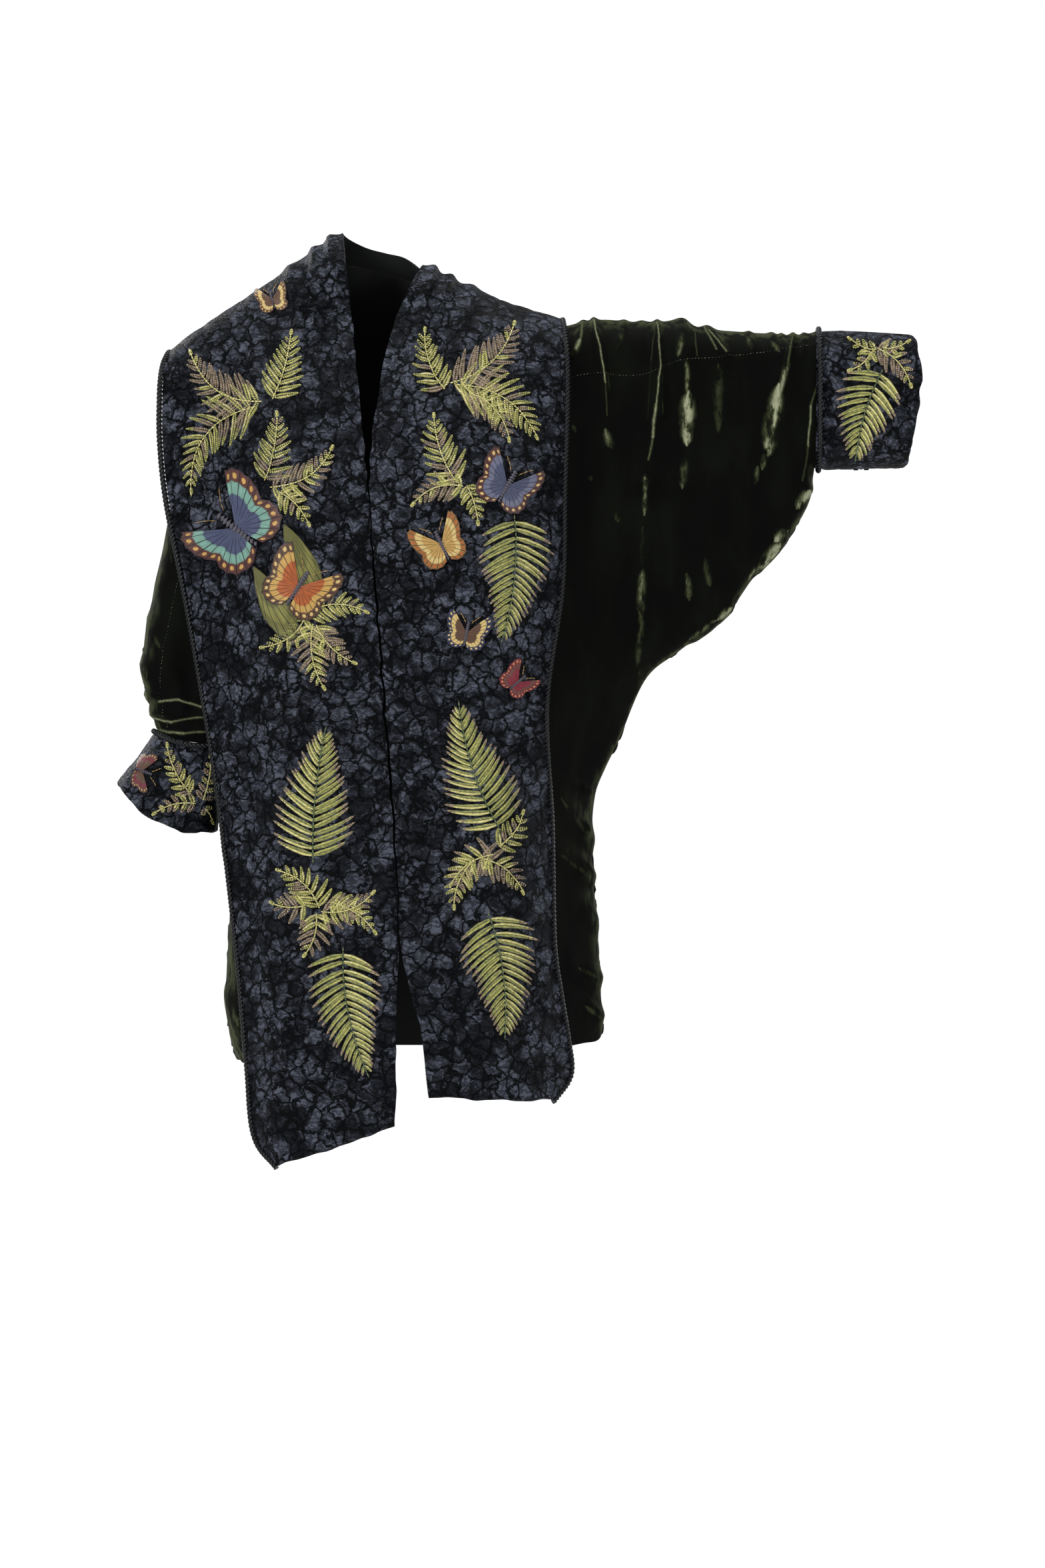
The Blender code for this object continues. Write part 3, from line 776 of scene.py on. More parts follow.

# %% [markdown]
# One streak is a soft line between two places in front view. Its distance is worked out by a few nodes, so
# they are put into a node group, and the group is placed once for each row of the table. A little noise
# bends the lines. Behind, they slide across and down, so that the back doesn't repeat the front. A broad
# streak is crushed pile with painted sheen; it tapers at both ends and is broken up by blotches. A thin one
# is a painted highlight on the crest of a fold, and runs on.

# %% The velvet and its plain reverse
RIM_SHEEN_STRENGTH = 0.48
WANDER = 7.0
BACK_SLIDE = (0.3, 0.8)
BROAD_STREAK = 4.0
STREAK_WIDTH = {"broad": 0.78, "thin": 0.9}
STREAK_TAPER = {"broad": 0.8, "thin": 0.0}
STRIP_REACH = -80.0
PANEL_REACH = -55.0


def streak_group():
    """A mask that is strong on the line between two places and fades beside it."""
    inputs = [(name, "Vector", None) for name in ("Place", "From", "To")]
    inputs += [(name, "Float", None) for name in ("Half width", "Strength", "Taper")]
    group = Group("crushed streak", "ShaderNodeTree", inputs, ("Mask", "Float"))
    given = group.given
    reach = group.vector("SUBTRACT", given["Place"], given["From"])
    run = group.vector("SUBTRACT", given["To"], given["From"])
    done, whole = group.vector("DOT_PRODUCT", reach, run), group.vector("DOT_PRODUCT", run, run)
    share = group.math("DIVIDE", done, whole, clamp=True)
    away = group.vector("LENGTH", group.vector("SUBTRACT", reach, group.vector("SCALE", run, share)))
    to_end = group.math("ABSOLUTE", group.math("SUBTRACT", group.times(share, 2.0), 1.0))
    narrow = group.times(group.math("POWER", to_end, 4.0), given["Taper"])
    ratio = group.math("DIVIDE", away, group.times(given["Half width"], group.math("SUBTRACT", 1.0, narrow)))
    fade = group.math("EXPONENT", group.times(group.times(ratio, ratio), -1.0))
    group.put(group.result, group.times(fade, given["Strength"]))
    return group.tree


def reaches(half, piece, from_z, to_z):
    """Whether a streak shows on the strip over the arm, or on the panels below it."""
    if piece == "panel":
        return to_z <= PANEL_REACH
    return half == "right" or from_z >= STRIP_REACH


def velvet_material(half, piece, group):
    """Dark olive pile, paler where it is crushed, with painted highlights on fold crests, a painted sheen at
    grazing angles, and the streaks that reach a piece.
    """
    nodes = Material(f"crushed velvet {half} {piece}")
    place = nodes.place()
    apart = nodes.add("ShaderNodeSeparateXYZ", Vector=place)
    behind = nodes.math("MAXIMUM", apart.outputs["Y"], 0.0)
    flat_x = nodes.math("MULTIPLY_ADD", behind, BACK_SLIDE[0], apart.outputs["X"])
    flat_z = nodes.math("MULTIPLY_ADD", behind, BACK_SLIDE[1], apart.outputs["Z"])
    flat = nodes.add("ShaderNodeCombineXYZ", X=flat_x, Z=flat_z).outputs[0]
    centred = nodes.vector("SUBTRACT", nodes.noise(place, 28.0, 4.0, output="Color"), (0.5, 0.5, 0.5))
    bent_place = nodes.vector("MULTIPLY_ADD", centred, (WANDER * MM, 0.0, WANDER * MM), flat)
    crush_and_highlight = {"broad": 0.0, "thin": 0.0}
    for from_x, from_z, to_x, to_z, wide, strength in STREAKS[half]:
        if reaches(half, piece, from_z, to_z):
            kind = "broad" if wide >= BROAD_STREAK else "thin"
            streak = nodes.add(
                "ShaderNodeGroup", {"node_tree": group}, Place=bent_place,
                From=(from_x * MM, 0.0, from_z * MM), To=(to_x * MM, 0.0, to_z * MM),
                Half_width=wide * MM * STREAK_WIDTH[kind], Strength=strength, Taper=STREAK_TAPER[kind],
            )
            crush_and_highlight[kind] = nodes.math("MAXIMUM", streak.outputs["Mask"], crush_and_highlight[kind])
    stretched = nodes.add("ShaderNodeMapping", Vector=place, Scale=(1.0, 1.0, 0.4)).outputs["Vector"]
    grain = nodes.plus(nodes.times(nodes.noise(stretched, 420.0, 4.0, 0.7), 1.1), 0.35)
    blotch = nodes.ramp(nodes.noise(stretched, 85.0, 3.0, 0.6), 0.36, 0.6)
    broken = nodes.plus(nodes.times(blotch, 0.85), 0.2)
    # painted sheen: the colour turns a paler olive where the cloth is seen at a grazing angle
    turning = nodes.ramp(nodes.add("ShaderNodeLayerWeight", Blend=0.7).outputs["Facing"], 0.35, 0.95)
    rim = nodes.times(turning, nodes.times(broken, RIM_SHEEN_STRENGTH))
    # broad streaks are crushed pile with painted sheen, thin streaks are painted highlights on fold crests
    crushed = nodes.math("MAXIMUM", nodes.times(crush_and_highlight["broad"], broken), nodes.times(crush_and_highlight["thin"], 0.8))
    ragged = nodes.times(crushed, grain)
    turned = nodes.ramp(nodes.math("MAXIMUM", ragged, rim), 0.05, 0.6)
    laid_pile_and_highlight = nodes.ramp(ragged, 0.36, 1.1)
    drift = nodes.ramp(nodes.noise(stretched, 22.0, 3.0), 0.35, 0.75)
    standing = nodes.mix(drift, picked(2, 3, 2), picked(8, 10, 6))
    # the olive colour is painted sheen over the near-black standing pile
    pile_with_painted_sheen = nodes.mix(turned, standing, picked(54, 59, 38))
    # the pale colour is crushed pile and painted highlights on fold crests
    return nodes.surface(
        Base_Color=nodes.mix(laid_pile_and_highlight, pile_with_painted_sheen, picked(140, 143, 116)),
        Roughness=nodes.math("SUBTRACT", 0.8, nodes.times(laid_pile_and_highlight, 0.3)),
        Sheen_Weight=0.05, Sheen_Roughness=0.3, Sheen_Tint=picked(150, 165, 105), Specular_IOR_Level=0.05,
        Normal=nodes.bump(nodes.noise(place, 1500.0, 2.0), 0.25, 0.4),
    )


def reverse_material():
    """The plain woven back of the cloth, nearly black."""
    nodes = Material("plain reverse")
    weave = nodes.noise(nodes.place(), 900.0, 2.0)
    return nodes.surface(
        Base_Color=nodes.mix(weave, picked(10, 11, 11), picked(18, 19, 20)),
        Roughness=0.7, Sheen_Weight=0.03, Specular_IOR_Level=0.1,
        Normal=nodes.bump(weave, 0.3, 0.3),
    )


streak = streak_group()
velvet = {}
for half in SIGN:
    for piece in ("strip", "panel"):
        velvet[half, piece] = velvet_material(half, piece, streak)
reverse = reverse_material()
print("materials of the velvet:", len(velvet))

# %% [markdown]
# ## The velvet panels
#
# Front, back and sleeve are one piece of cloth on each half, with a seam over the arm. The grid follows the
# ribs, so that it is fine where the sleeve fans out. On a real coat the edge of each panel is turned in and
# sewn. Here the panels meet edge to edge, so that no light shows through a seam.

# %% Grids for the panels
# the row of points that runs level on the right half, in mm and in ribs
LEVEL_ROW = -500.0
LEVEL_TO_RIB = 13.0
LEVEL_EASE = 3.0
# shares of the points and of a rib's length, and how much closer the points lie at the neck and the foot
UPPER_STEPS = 0.55
MIDDLE_SHARE = 0.6
NECK_CROWD = 0.9
NECK_TO_RIB = 3.0
NECK_EASE = 2.0
FOOT_CROWD = 1.5
# where the gathers begin beside the band: across on the left half, down on the right one, in mm
GATHER_FROM = {"left": 225.0, "right": 300.0}
GATHER_EASE = {"left": 15.0, "right": 60.0}
CUFF_EASE = 0.25


def spread(steps_a_rib, first=1.0):
    """Ribs from the front edge or the middle of the back to the cuff."""
    count = int(round((SEAM_RIB - first) * steps_a_rib))
    return np.linspace(first, SEAM_RIB, count + 1)


def falls_down(half, rib, step):
    """How far down each rib its points lie: level beside the hanging sleeve, closer at both ends."""
    _, top_z, _, foot_z, _, _, seam = rib_row(half, rib)
    length = rib_length(half, rib)
    middle = MIDDLE_SHARE
    if half == "right":
        level = (LEVEL_ROW - top_z) / (foot_z - top_z)
        middle = level + (middle - level) * smooth((rib - LEVEL_TO_RIB) / LEVEL_EASE)
    at_neck = 1.0 + NECK_CROWD * smooth((NECK_TO_RIB - rib) / NECK_EASE)
    upper = seam + (length * middle - seam) * (step / UPPER_STEPS) ** at_neck
    left = np.clip(1.0 - step, 0.0, 1.0) / (1.0 - UPPER_STEPS)
    lower = length * (1.0 - (1.0 - middle) * left ** FOOT_CROWD)
    return np.where(step <= UPPER_STEPS, upper, lower)


# %% The edges of a panel
def end_gap(half):
    """The direction in which the sleeve runs into the cuff."""
    here = rib_row(half, np.array([SEAM_RIB, SEAM_RIB + 1]))
    run = (here[:4, 1] - here[:4, 0]).reshape(2, 2).mean(axis=0)
    run /= np.linalg.norm(run)
    return np.array([run[0], 0.0, run[1]])


def square_to_seam(half, normal):
    """Turn the wall's edge at the cuff's seam square to the way that the sleeve runs."""
    run = end_gap(half)
    normal = normal - (normal @ run)[..., None] * run
    return normal / np.linalg.norm(normal, axis=-1, keepdims=True)


def flatten_edge(normal, edge):
    """Keep the wall's edge in the plane of its side seam."""
    normal[edge, 1] = 0.0
    normal[edge] /= np.linalg.norm(normal[edge], axis=-1, keepdims=True)
    return normal


def at_form(half):
    """The form of one half, as a function of rib and fall."""
    return lambda rib, fall: form(half, rib, fall)


def gathered(half, rib, points):
    """The gathers' height, none where the panel is sewn to the cuff or lies under the band."""
    x, z = points[..., 0], points[..., 2]
    reach = np.abs(x) if half == "left" else -z
    beside_band = smooth((reach - GATHER_FROM[half]) / GATHER_EASE[half])
    return gather_height(half, x, z) * smooth((SEAM_RIB - rib) / CUFF_EASE) * beside_band


# %% One panel, from its ribs to its shell
def lay_velvet(half, face, rib, fall, normal, side_seam=None):
    """Add the gathers to a panel's form, give it its thickness and put it in its place."""
    normal[-1] = square_to_seam(half, normal[-1])
    points = form(half, rib, fall)
    outer = points + normal * gathered(half, rib, points)[..., None]
    if side_seam is not None:
        outer[side_seam, 1] = 0.0
    inner = outer - normal * VELVET
    for grid in (outer, inner):
        grid[-1] -= end_gap(half) * SEAM_GAP
        if face == "back":
            grid[0, :, 0] = 0.0
    thing = shell(f"{face}_{half}_velvet", outer, inner)
    piece = "strip" if face == "yoke" else "panel"
    dress(thing, f"{face}_{half}", (velvet[half, piece], reverse))
    return thing, area_of(outer)


def panel(half, face, steps_a_rib, steps_down):
    """The front or back of one half, body and sleeve in one, below the overarm seam."""
    sign = -1 if face == "front" else 1
    ribs = spread(steps_a_rib, 1.0 if face == "front" else 0.0)
    rib, step = np.meshgrid(ribs, np.linspace(0.0, 1.0, steps_down), indexing="ij")
    fall = sign * falls_down(half, rib, step)
    near_edge = sign * np.clip(np.abs(fall), 2 * STEP, rib_length(half, rib) - 2 * STEP)
    side_seam = (step > 0.9999) & (rib >= CORNER_RIB)
    normal = flatten_edge(outward(at_form(half), rib, near_edge, SIGN[half]), side_seam)
    return lay_velvet(half, face, rib, fall, normal, side_seam)


def yoke(half, steps_a_rib):
    """The strip over the shoulder and the arm, from the front overarm seam to the back one."""
    turn = np.linspace(-1.0, 1.0, 33)
    share = np.sign(turn) * (1.0 - np.cos(0.5 * math.pi * np.abs(turn)))
    rib, share = np.meshgrid(spread(steps_a_rib), share, indexing="ij")
    fall = rib_row(half, rib)[6] * share
    return lay_velvet(half, "yoke", rib, fall, outward(at_form(half), rib, fall, SIGN[half]))


# %% The velvet of both halves
# the width and length in metres of the rectangle that each piece is cut from
CUTS = {
    ("front", "left"): (0.66, 1.02),
    ("front", "right"): (0.52, 1.02),
    ("back", "left"): (0.66, 1.06),
    ("back", "right"): (0.55, 1.06),
    ("yoke", "left"): (0.52, 0.17),
    ("yoke", "right"): (0.66, 0.17),
}
STEPS_A_RIB = {("front", "left"): 16, ("front", "right"): 10, ("back", "left"): 10, ("back", "right"): 10}
STRIP_STEPS_A_RIB = 12
STEPS_DOWN = 100
for (face, half), (wide, long) in CUTS.items():
    if face == "yoke":
        thing, area = yoke(half, STRIP_STEPS_A_RIB)
    else:
        thing, area = panel(half, face, STEPS_A_RIB[face, half], STEPS_DOWN)
    print(thing.name, "area", round(area, 3), "of", round(wide * long, 3))

# %% [markdown]
# ## Crinkled jacquard
#
# The band and the cuffs are a black jacquard that has been crinkled: soft matt pads, parted by short
# creases. The large pads are real relief in the mesh. The fine creases are bump, with painted shade that
# darkens the colour along them, and the woven figure is colour: all belong to the material.

# %% The jacquard
def jacquard_material():
    """Matt charcoal pads on a black ground, parted by short creases with painted shade."""
    nodes = Material("crinkled jacquard")
    place = nodes.place()
    moved = nodes.mix(0.024, place, nodes.noise(place, 70.0, 5.0, 0.6, "Color"), "VECTOR")
    level = nodes.add("ShaderNodeMapping", Vector=moved, Scale=(0.75, 0.75, 1.5)).outputs["Vector"]
    cell = {"feature": "DISTANCE_TO_EDGE"}
    cracks = nodes.add("ShaderNodeTexVoronoi", cell, Vector=moved, Scale=48.0).outputs["Distance"]
    small = nodes.add("ShaderNodeTexVoronoi", cell, Vector=level, Scale=108.0).outputs["Distance"]
    pad, fine = nodes.ramp(cracks, 0.02, 0.11), nodes.ramp(small, 0.0, 0.17)
    woven = nodes.ramp(nodes.noise(moved, 27.0, 7.0, 0.72), 0.45, 0.58)
    shade = nodes.plus(nodes.times(nodes.noise(place, 13.0, 3.0), 0.9), 0.5)
    # painted shade: the colour falls to the black ground in the large and the small creases
    patch = nodes.times(nodes.times(pad, nodes.plus(nodes.times(fine, 0.7), 0.3)), shade)
    light = nodes.times(patch, nodes.plus(nodes.times(woven, 0.88), 0.12))
    cloth = nodes.bump(nodes.noise(place, 900.0, 2.0), 0.2, 0.3)
    return nodes.surface(
        Base_Color=nodes.mix(light, picked(1, 2, 4), picked(72, 76, 87)),
        Roughness=nodes.plus(0.5, nodes.times(light, 0.3)), Specular_IOR_Level=0.06,
        Normal=nodes.bump(nodes.plus(pad, nodes.times(fine, 0.5)), 0.9, 2.2, cloth),
    )


jacquard = jacquard_material()
# in mm, apart from the shares: the relief's height on the band, its two sizes of pads, the waves of the hems
PUCKER = 3.2
LARGE_PAD = 26.0
SMALL_PAD = 11.0
LARGE_SHARE = 0.65
SMALL_SHARE = 0.35
HEM_WAVE = 5.0
HEM_WAVE_SIZE = 17.0
CUFF_WAVE = 6.0
CUFF_WAVE_SIZE = 16.0
# the share of that relief on the cuffs, and the part of a rib that their wave takes
CUFF_PUCKER = 0.95
CUFF_WAVE_RIBS = 0.7


def pucker(x, z):
    """The height of the crinkled pads, in mm above the cloth's lowest creases."""
    return PUCKER * (LARGE_SHARE * creases(x, z, LARGE_PAD, 0) + SMALL_SHARE * creases(x, z, SMALL_PAD, 3))


# %% The flared cuffs
def ring_falls(half, rib, count):
    """Places down the front and up the back of a rib, all round the sleeve."""
    step = np.linspace(0.0, 1.0, count + 1)
    down = step - 0.75 * np.sin(2.0 * math.pi * step) / (2.0 * math.pi)
    around = np.concatenate([-down[:-1], down[::-1][:-1]])
    around[0] = 0.0
    return around * rib_length(half, rib)


def cuff(half, rows, around):
    """The flared cuff, a tube from the sleeve's end."""
    ribs = np.linspace(SEAM_RIB, END_RIB, rows)
    falls = np.array([ring_falls(half, rib, around) for rib in ribs])
    rib = np.repeat(ribs[:, None], 2 * around, axis=1)
    low = rib_length(half, rib) - 2 * STEP
    outer = form(half, rib, falls)
    normal = outward(at_form(half), rib, np.clip(falls, -low, low), SIGN[half])
    normal = flatten_edge(normal, np.abs(falls) >= low)
    normal[0] = square_to_seam(half, normal[0])
    outer[:, around, 1] = 0.0
    wave = CUFF_WAVE * (noise(outer[..., 0] + outer[..., 1], outer[..., 2], CUFF_WAVE_SIZE, 6) - 0.6)
    at_hem = smooth((rib - END_RIB + CUFF_WAVE_RIBS) / CUFF_WAVE_RIBS)
    outer = outer + (wave * at_hem)[..., None] * end_gap(half)
    inner = outer - normal * BAND
    away = smooth((rib - SEAM_RIB) / CUFF_EASE) * smooth((END_RIB - rib) / 0.06)
    relief = CUFF_PUCKER * pucker(outer[..., 0] + 2.0 * outer[..., 1], outer[..., 2]) * away
    outer = outer + normal * relief[..., None]
    thing = shell(f"cuff_{half}_jacquard", outer, inner, ring=True)
    dress(thing, f"cuff_{half}", (jacquard, reverse))
    print(thing.name, "area", round(area_of(outer), 4))


CUFF_AROUND = 60
for half in SIGN:
    cuff(half, 44, CUFF_AROUND)

# %% [markdown]
# ## The shawl band
#
# The band runs up each front, over the shoulder and round the back of the neck. It is gathered in soft
# upright folds beside the neck. Its points stand off the form by the cloth's own folds and pads, measured
# along the form's outward direction, so that the outline over the shoulder shows them too.

# %% Folds beside the neck
# columns: from_x, from_z, to_x, to_z, height, width
RUCHES = {
    "left": [
        (62, 45, 40, -60, 6.5, 7.0),
        (40, -60, 8, -230, 4.0, 7.5),
        (84, 34, 66, -40, 6.0, 7.5),
        (66, -40, 42, -170, 3.5, 8.0),
        (112, 22, 100, -60, 4.0, 9.0),
    ],
    "right": [
        (-66, 84, -60, -40, 6.5, 7.0),
        (-60, -40, -42, -230, 4.0, 7.5),
        (-86, 68, -84, -30, 6.0, 7.5),
        (-84, -30, -66, -190, 3.5, 8.0),
        (-116, 42, -112, -60, 4.5, 9.0),
    ],
}


def ruche_height(half, x, z):
    """The height of the folds that gather the band beside the neck."""
    return np.maximum.reduce(bells(RUCHES[half], x, z))


def cord_room(half, row):
    """The share of the band's width that its cloth takes, beside the cord."""
    inner_x, inner_z, outer_x, outer_z, _ = band_row(half, row)
    width = np.hypot(outer_x - inner_x, outer_z - inner_z)
    return 1.0 - (2 * CORD_RADIUS + SEAM_GAP) / width


def band_form(half, row, across):
    """A point of the band's form; rows past the ridge lie behind."""
    x, z = band_place(half, row, across * cord_room(half, row))
    ridge = RIDGE_ROW[half]
    front = -depth(half, x, z, "front", band=True)
    back = depth(half, x, z, "back", band=True)
    return np.stack([x, np.where(row < ridge, front, back) * (np.abs(row - ridge) > 1e-9), z], axis=-1)


TURN_ROWS = {"front": 2.5, "behind": 2.0}


def band_rows(half, steps):
    """Rows up the band, close together where it turns over the shoulder."""
    ridge = RIDGE_ROW[half]
    last = len(BAND_ROWS[half]) - 1
    start, end = ridge - TURN_ROWS["front"], ridge + TURN_ROWS["behind"]
    turn = 0.5 * math.pi * np.linspace(0, 1, 40)
    front = np.linspace(0, start, int(start * steps))
    over = ridge - TURN_ROWS["front"] * (1 - np.sin(turn))[1:-1]
    behind = ridge + TURN_ROWS["behind"] * (1 - np.cos(turn))
    rest = np.linspace(end, last, int((last - end) * steps))[1:]
    return np.concatenate([front, over, behind, rest])


def band(half, steps, columns):
    """The shawl band of one half, from its hem in front to the middle of the back."""
    row, across = np.meshgrid(band_rows(half, steps), np.linspace(0, 1, columns), indexing="ij")
    face = band_form(half, row, across)
    waves = HEM_WAVE * (noise(face[..., 0], face[..., 2], HEM_WAVE_SIZE, 5) - 0.5)
    face[..., 2] += waves * (1.0 - smooth(row / 0.4))
    below_neck = 1.0 - smooth((row - 9.0) / 2.0)
    face[..., 0] += 0.7 * waves * (1.0 - smooth(across / 0.08)) * below_neck
    normal = outward(lambda r, a: band_form(half, r, a), row, across, -SIGN[half])
    fade_behind = smooth((RIDGE_ROW[half] + 2.5 - row) / 2.0)
    lift = (ruche_height(half, face[..., 0], face[..., 2]) * fade_behind)[..., None]
    edges = smooth((1.0 - across) / 0.06) * smooth(across / 0.04) * smooth(row / 0.08)
    relief = (pucker(face[..., 0], face[..., 2] + 0.7 * face[..., 1]) * edges)[..., None]
    outer = face + normal * (lift + relief + CLEARANCE)
    inner = face + normal * (lift - BAND + CLEARANCE)
    for grid in (outer, inner):
        grid[-1, :, 0] = 0.0
    thing = shell(f"band_{half}_jacquard", outer, inner)
    dress(thing, f"band_{half}", (jacquard, reverse))
    middle = face + normal * (CLEARANCE - BAND / 2)
    return middle[:, -1], middle[:, -1] - middle[:, -2]


band_edges = {half: band(half, 24, 56) for half in SIGN}

# %% [markdown]
# ## Twisted cords
#
# A thick three-strand cord finishes the outer edge of the band and the seam of each cuff. A Geometry Nodes
# tree makes it: the path becomes a curve, its tilt grows along its length, and a profile with three lobes
# is swept along it. The lobes then wind round the path like strands.

# %% The cord's tree
STRANDS = 3
LOBE = 0.42


def cord_tree(material):
    """A Geometry Nodes tree that sweeps a lobed profile along a path, with a twist."""
    inputs = [("Path", "Geometry", None), ("Radius", "Float", 0.004), ("Lay", "Float", 0.0165),
              ("Step", "Float", 0.0015)]
    group = Group("twisted cord", "GeometryNodeTree", inputs, ("Cord", "Geometry"))
    given = group.given
    curve = group.add("GeometryNodeMeshToCurve", Mesh=given["Path"]).outputs[0]
    by_length = {"mode": "LENGTH"}
    even = group.add("GeometryNodeResampleCurve", by_length, Curve=curve, Length=given["Step"]).outputs[0]
    travelled = group.add("GeometryNodeSplineParameter").outputs["Length"]
    turns = group.math("DIVIDE", group.times(travelled, 2 * math.pi), given["Lay"])
    tilted = group.add("GeometryNodeSetCurveTilt", Curve=even, Tilt=turns).outputs[0]
    circle = group.add("GeometryNodeCurvePrimitiveCircle", Resolution=15, Radius=given["Radius"])
    around = group.add("GeometryNodeSplineParameter").outputs["Factor"]
    lobe = group.math("ABSOLUTE", group.math("COSINE", group.times(around, STRANDS * math.pi)))
    scale = group.plus(group.times(lobe, LOBE), 1.0 - LOBE)
    scaled = group.vector("SCALE", group.add("GeometryNodeInputPosition").outputs[0], scale)
    lobed = group.add("GeometryNodeSetPosition", Geometry=circle.outputs["Curve"], Position=scaled).outputs[0]
    # the lobe's share is kept as strand, for the painted highlight and shade of the cord's material
    kept = group.add("GeometryNodeStoreNamedAttribute", Name="strand", Geometry=lobed, Value=lobe).outputs[0]
    swept = group.add("GeometryNodeCurveToMesh", Curve=tilted, Profile_Curve=kept, Fill_Caps=True)
    return group.finish(swept.outputs[0], material)


def run_tree(name, tree, mesh, **values):
    """Run a tree on a mesh, and keep its result as a plain mesh object."""
    source = new_object(f"{name}_path", mesh)
    modifier = source.modifiers.new("tree", "NODES")
    modifier.node_group = tree
    sockets = {item.name: item.identifier for item in tree.interface.items_tree if item.in_out == "INPUT"}
    for key, value in values.items():
        modifier[sockets[key]] = value
    seen = source.evaluated_get(bpy.context.evaluated_depsgraph_get())
    made = bpy.data.meshes.new_from_object(seen)
    made.name = name
    bpy.data.objects.remove(source, do_unlink=True)
    return new_object(name, made)


# %% The cords of the band and the cuffs
def cord_material():
    """Black silk cord, with a painted highlight on each strand and painted shade in the grooves between."""
    nodes = Material("twisted black cord")
    fibre = nodes.noise(nodes.place(), 1300.0, 2.0)
    # painted highlight on each strand's lobe, painted shade in the grooves between the strands
    strand_highlight_and_shade = nodes.ramp(nodes.stored("strand", "Fac"), 0.5, 1.0)
    silk = nodes.mix(fibre, picked(16, 17, 20), picked(46, 48, 52))
    return nodes.surface(
        Base_Color=nodes.mix(strand_highlight_and_shade, picked(2, 2, 3), silk), Roughness=0.45, Specular_IOR_Level=0.2,
        Normal=nodes.bump(fibre, 0.35, 0.3),
    )


twist = cord_tree(cord_material())
CUFF_CORD_RIB = SEAM_RIB + 0.08


def path_mesh(name, points, ring=False):
    """A mesh of edges along a path in mm."""
    count = len(points)
    edges = [(index, (index + 1) % count) for index in range(count if ring else count - 1)]
    mesh = bpy.data.meshes.new(name)
    mesh.from_pydata((points * MM).tolist(), edges, [])
    return mesh


def square_out(path_run, out):
    """The part of a direction that stands square to the path."""
    path_run = path_run / np.linalg.norm(path_run, axis=1, keepdims=True)
    out = out - (out * path_run).sum(axis=1, keepdims=True) * path_run
    return out / np.linalg.norm(out, axis=1, keepdims=True)


def finish_cord(thing, node):
    """Shade a cord smooth and put it in the place of its solid."""
    thing.data.shade_smooth()
    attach(thing, "root")
    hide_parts(node)
    print(thing.name, len(thing.data.polygons), "faces")


for half, (edge, across) in band_edges.items():
    out = square_out(np.gradient(edge, axis=0), across)
    path = edge + out * (CORD_RADIUS * 0.95)
    path[-1, 0] = SIGN[half] * SEAM_GAP / 2
    name = f"cord_band_{half}"
    finish_cord(run_tree(f"{name}_twisted", twist, path_mesh(name, path), Radius=CORD_RADIUS * MM), name)

for half in SIGN:
    falls = ring_falls(half, CUFF_CORD_RIB, CUFF_AROUND)
    ribs = np.full(2 * CUFF_AROUND, CUFF_CORD_RIB)
    low = rib_length(half, ribs) - 2 * STEP
    normal = outward(at_form(half), ribs, np.clip(falls, -low, low), SIGN[half])
    normal = flatten_edge(normal, np.abs(falls) >= low)
    path = form(half, ribs, falls)
    path[CUFF_AROUND, 1] = 0.0
    path = path + normal * CUFF_CORD_RADIUS
    name = f"cord_cuff_{half}"
    mesh = path_mesh(name, path, ring=True)
    finish_cord(run_tree(f"{name}_twisted", twist, mesh, Radius=CUFF_CORD_RADIUS * MM), name)

# %% [markdown]
# ## Embroidery on the band and the cuffs
#
# The motifs are ferns and butterflies in satin stitch. They are drawn in front view, in millimetres, and
# every point is then carried on to the cloth: first to the form, then out along its normal by the cloth's
# own folds and pads. So the thread always lies on the cloth, seen from any side.

# %% From a place in front view to the cloth
PROBE = 0.5


def cloth_point(half, x, z, lift, place="band"):
    """A point on the face of the band or a cuff, lifted off it, and the cloth's normal there."""
    on_band = place == "band"
    y = -depth(half, x, z, "front", band=on_band)
    slope_x = -depth(half, x + PROBE, z, "front", band=on_band) - y
    slope_z = -depth(half, x, z + PROBE, "front", band=on_band) - y
    normal = np.stack([slope_x / PROBE, -np.ones_like(y), slope_z / PROBE], axis=-1)
    normal /= np.linalg.norm(normal, axis=-1, keepdims=True)
    if on_band:
        height = CLEARANCE + ruche_height(half, x, z) + pucker(x, z + 0.7 * y)
    else:
        height = CUFF_PUCKER * pucker(x + 2.0 * y, z)
    return np.stack([x, y, z], axis=-1) + normal * (height + lift)[..., None], normal


# %% [markdown]
# A fern is built from hundreds of small pointed stitches. Python lays them out: a curved rib, leaflets on
# both sides, and two rows of stitches on each leaflet. A Geometry Nodes tree then puts one small raised
# stitch on each place, turned along its thread. Its colour travels as an attribute.

# %% Laying out the stitches of a fern
GREEN = [picked(172, 172, 92), picked(188, 184, 104), picked(150, 152, 78)]
OLIVE = [picked(138, 140, 78), picked(154, 154, 86), picked(116, 122, 68)]
MAUVE = [picked(152, 132, 108), picked(168, 148, 124), picked(130, 114, 88)]
PALE = [picked(214, 206, 132), picked(196, 190, 112), picked(224, 216, 150)]
MOSS = [picked(84, 104, 66), picked(98, 114, 74)]
dice = np.random.default_rng(7)


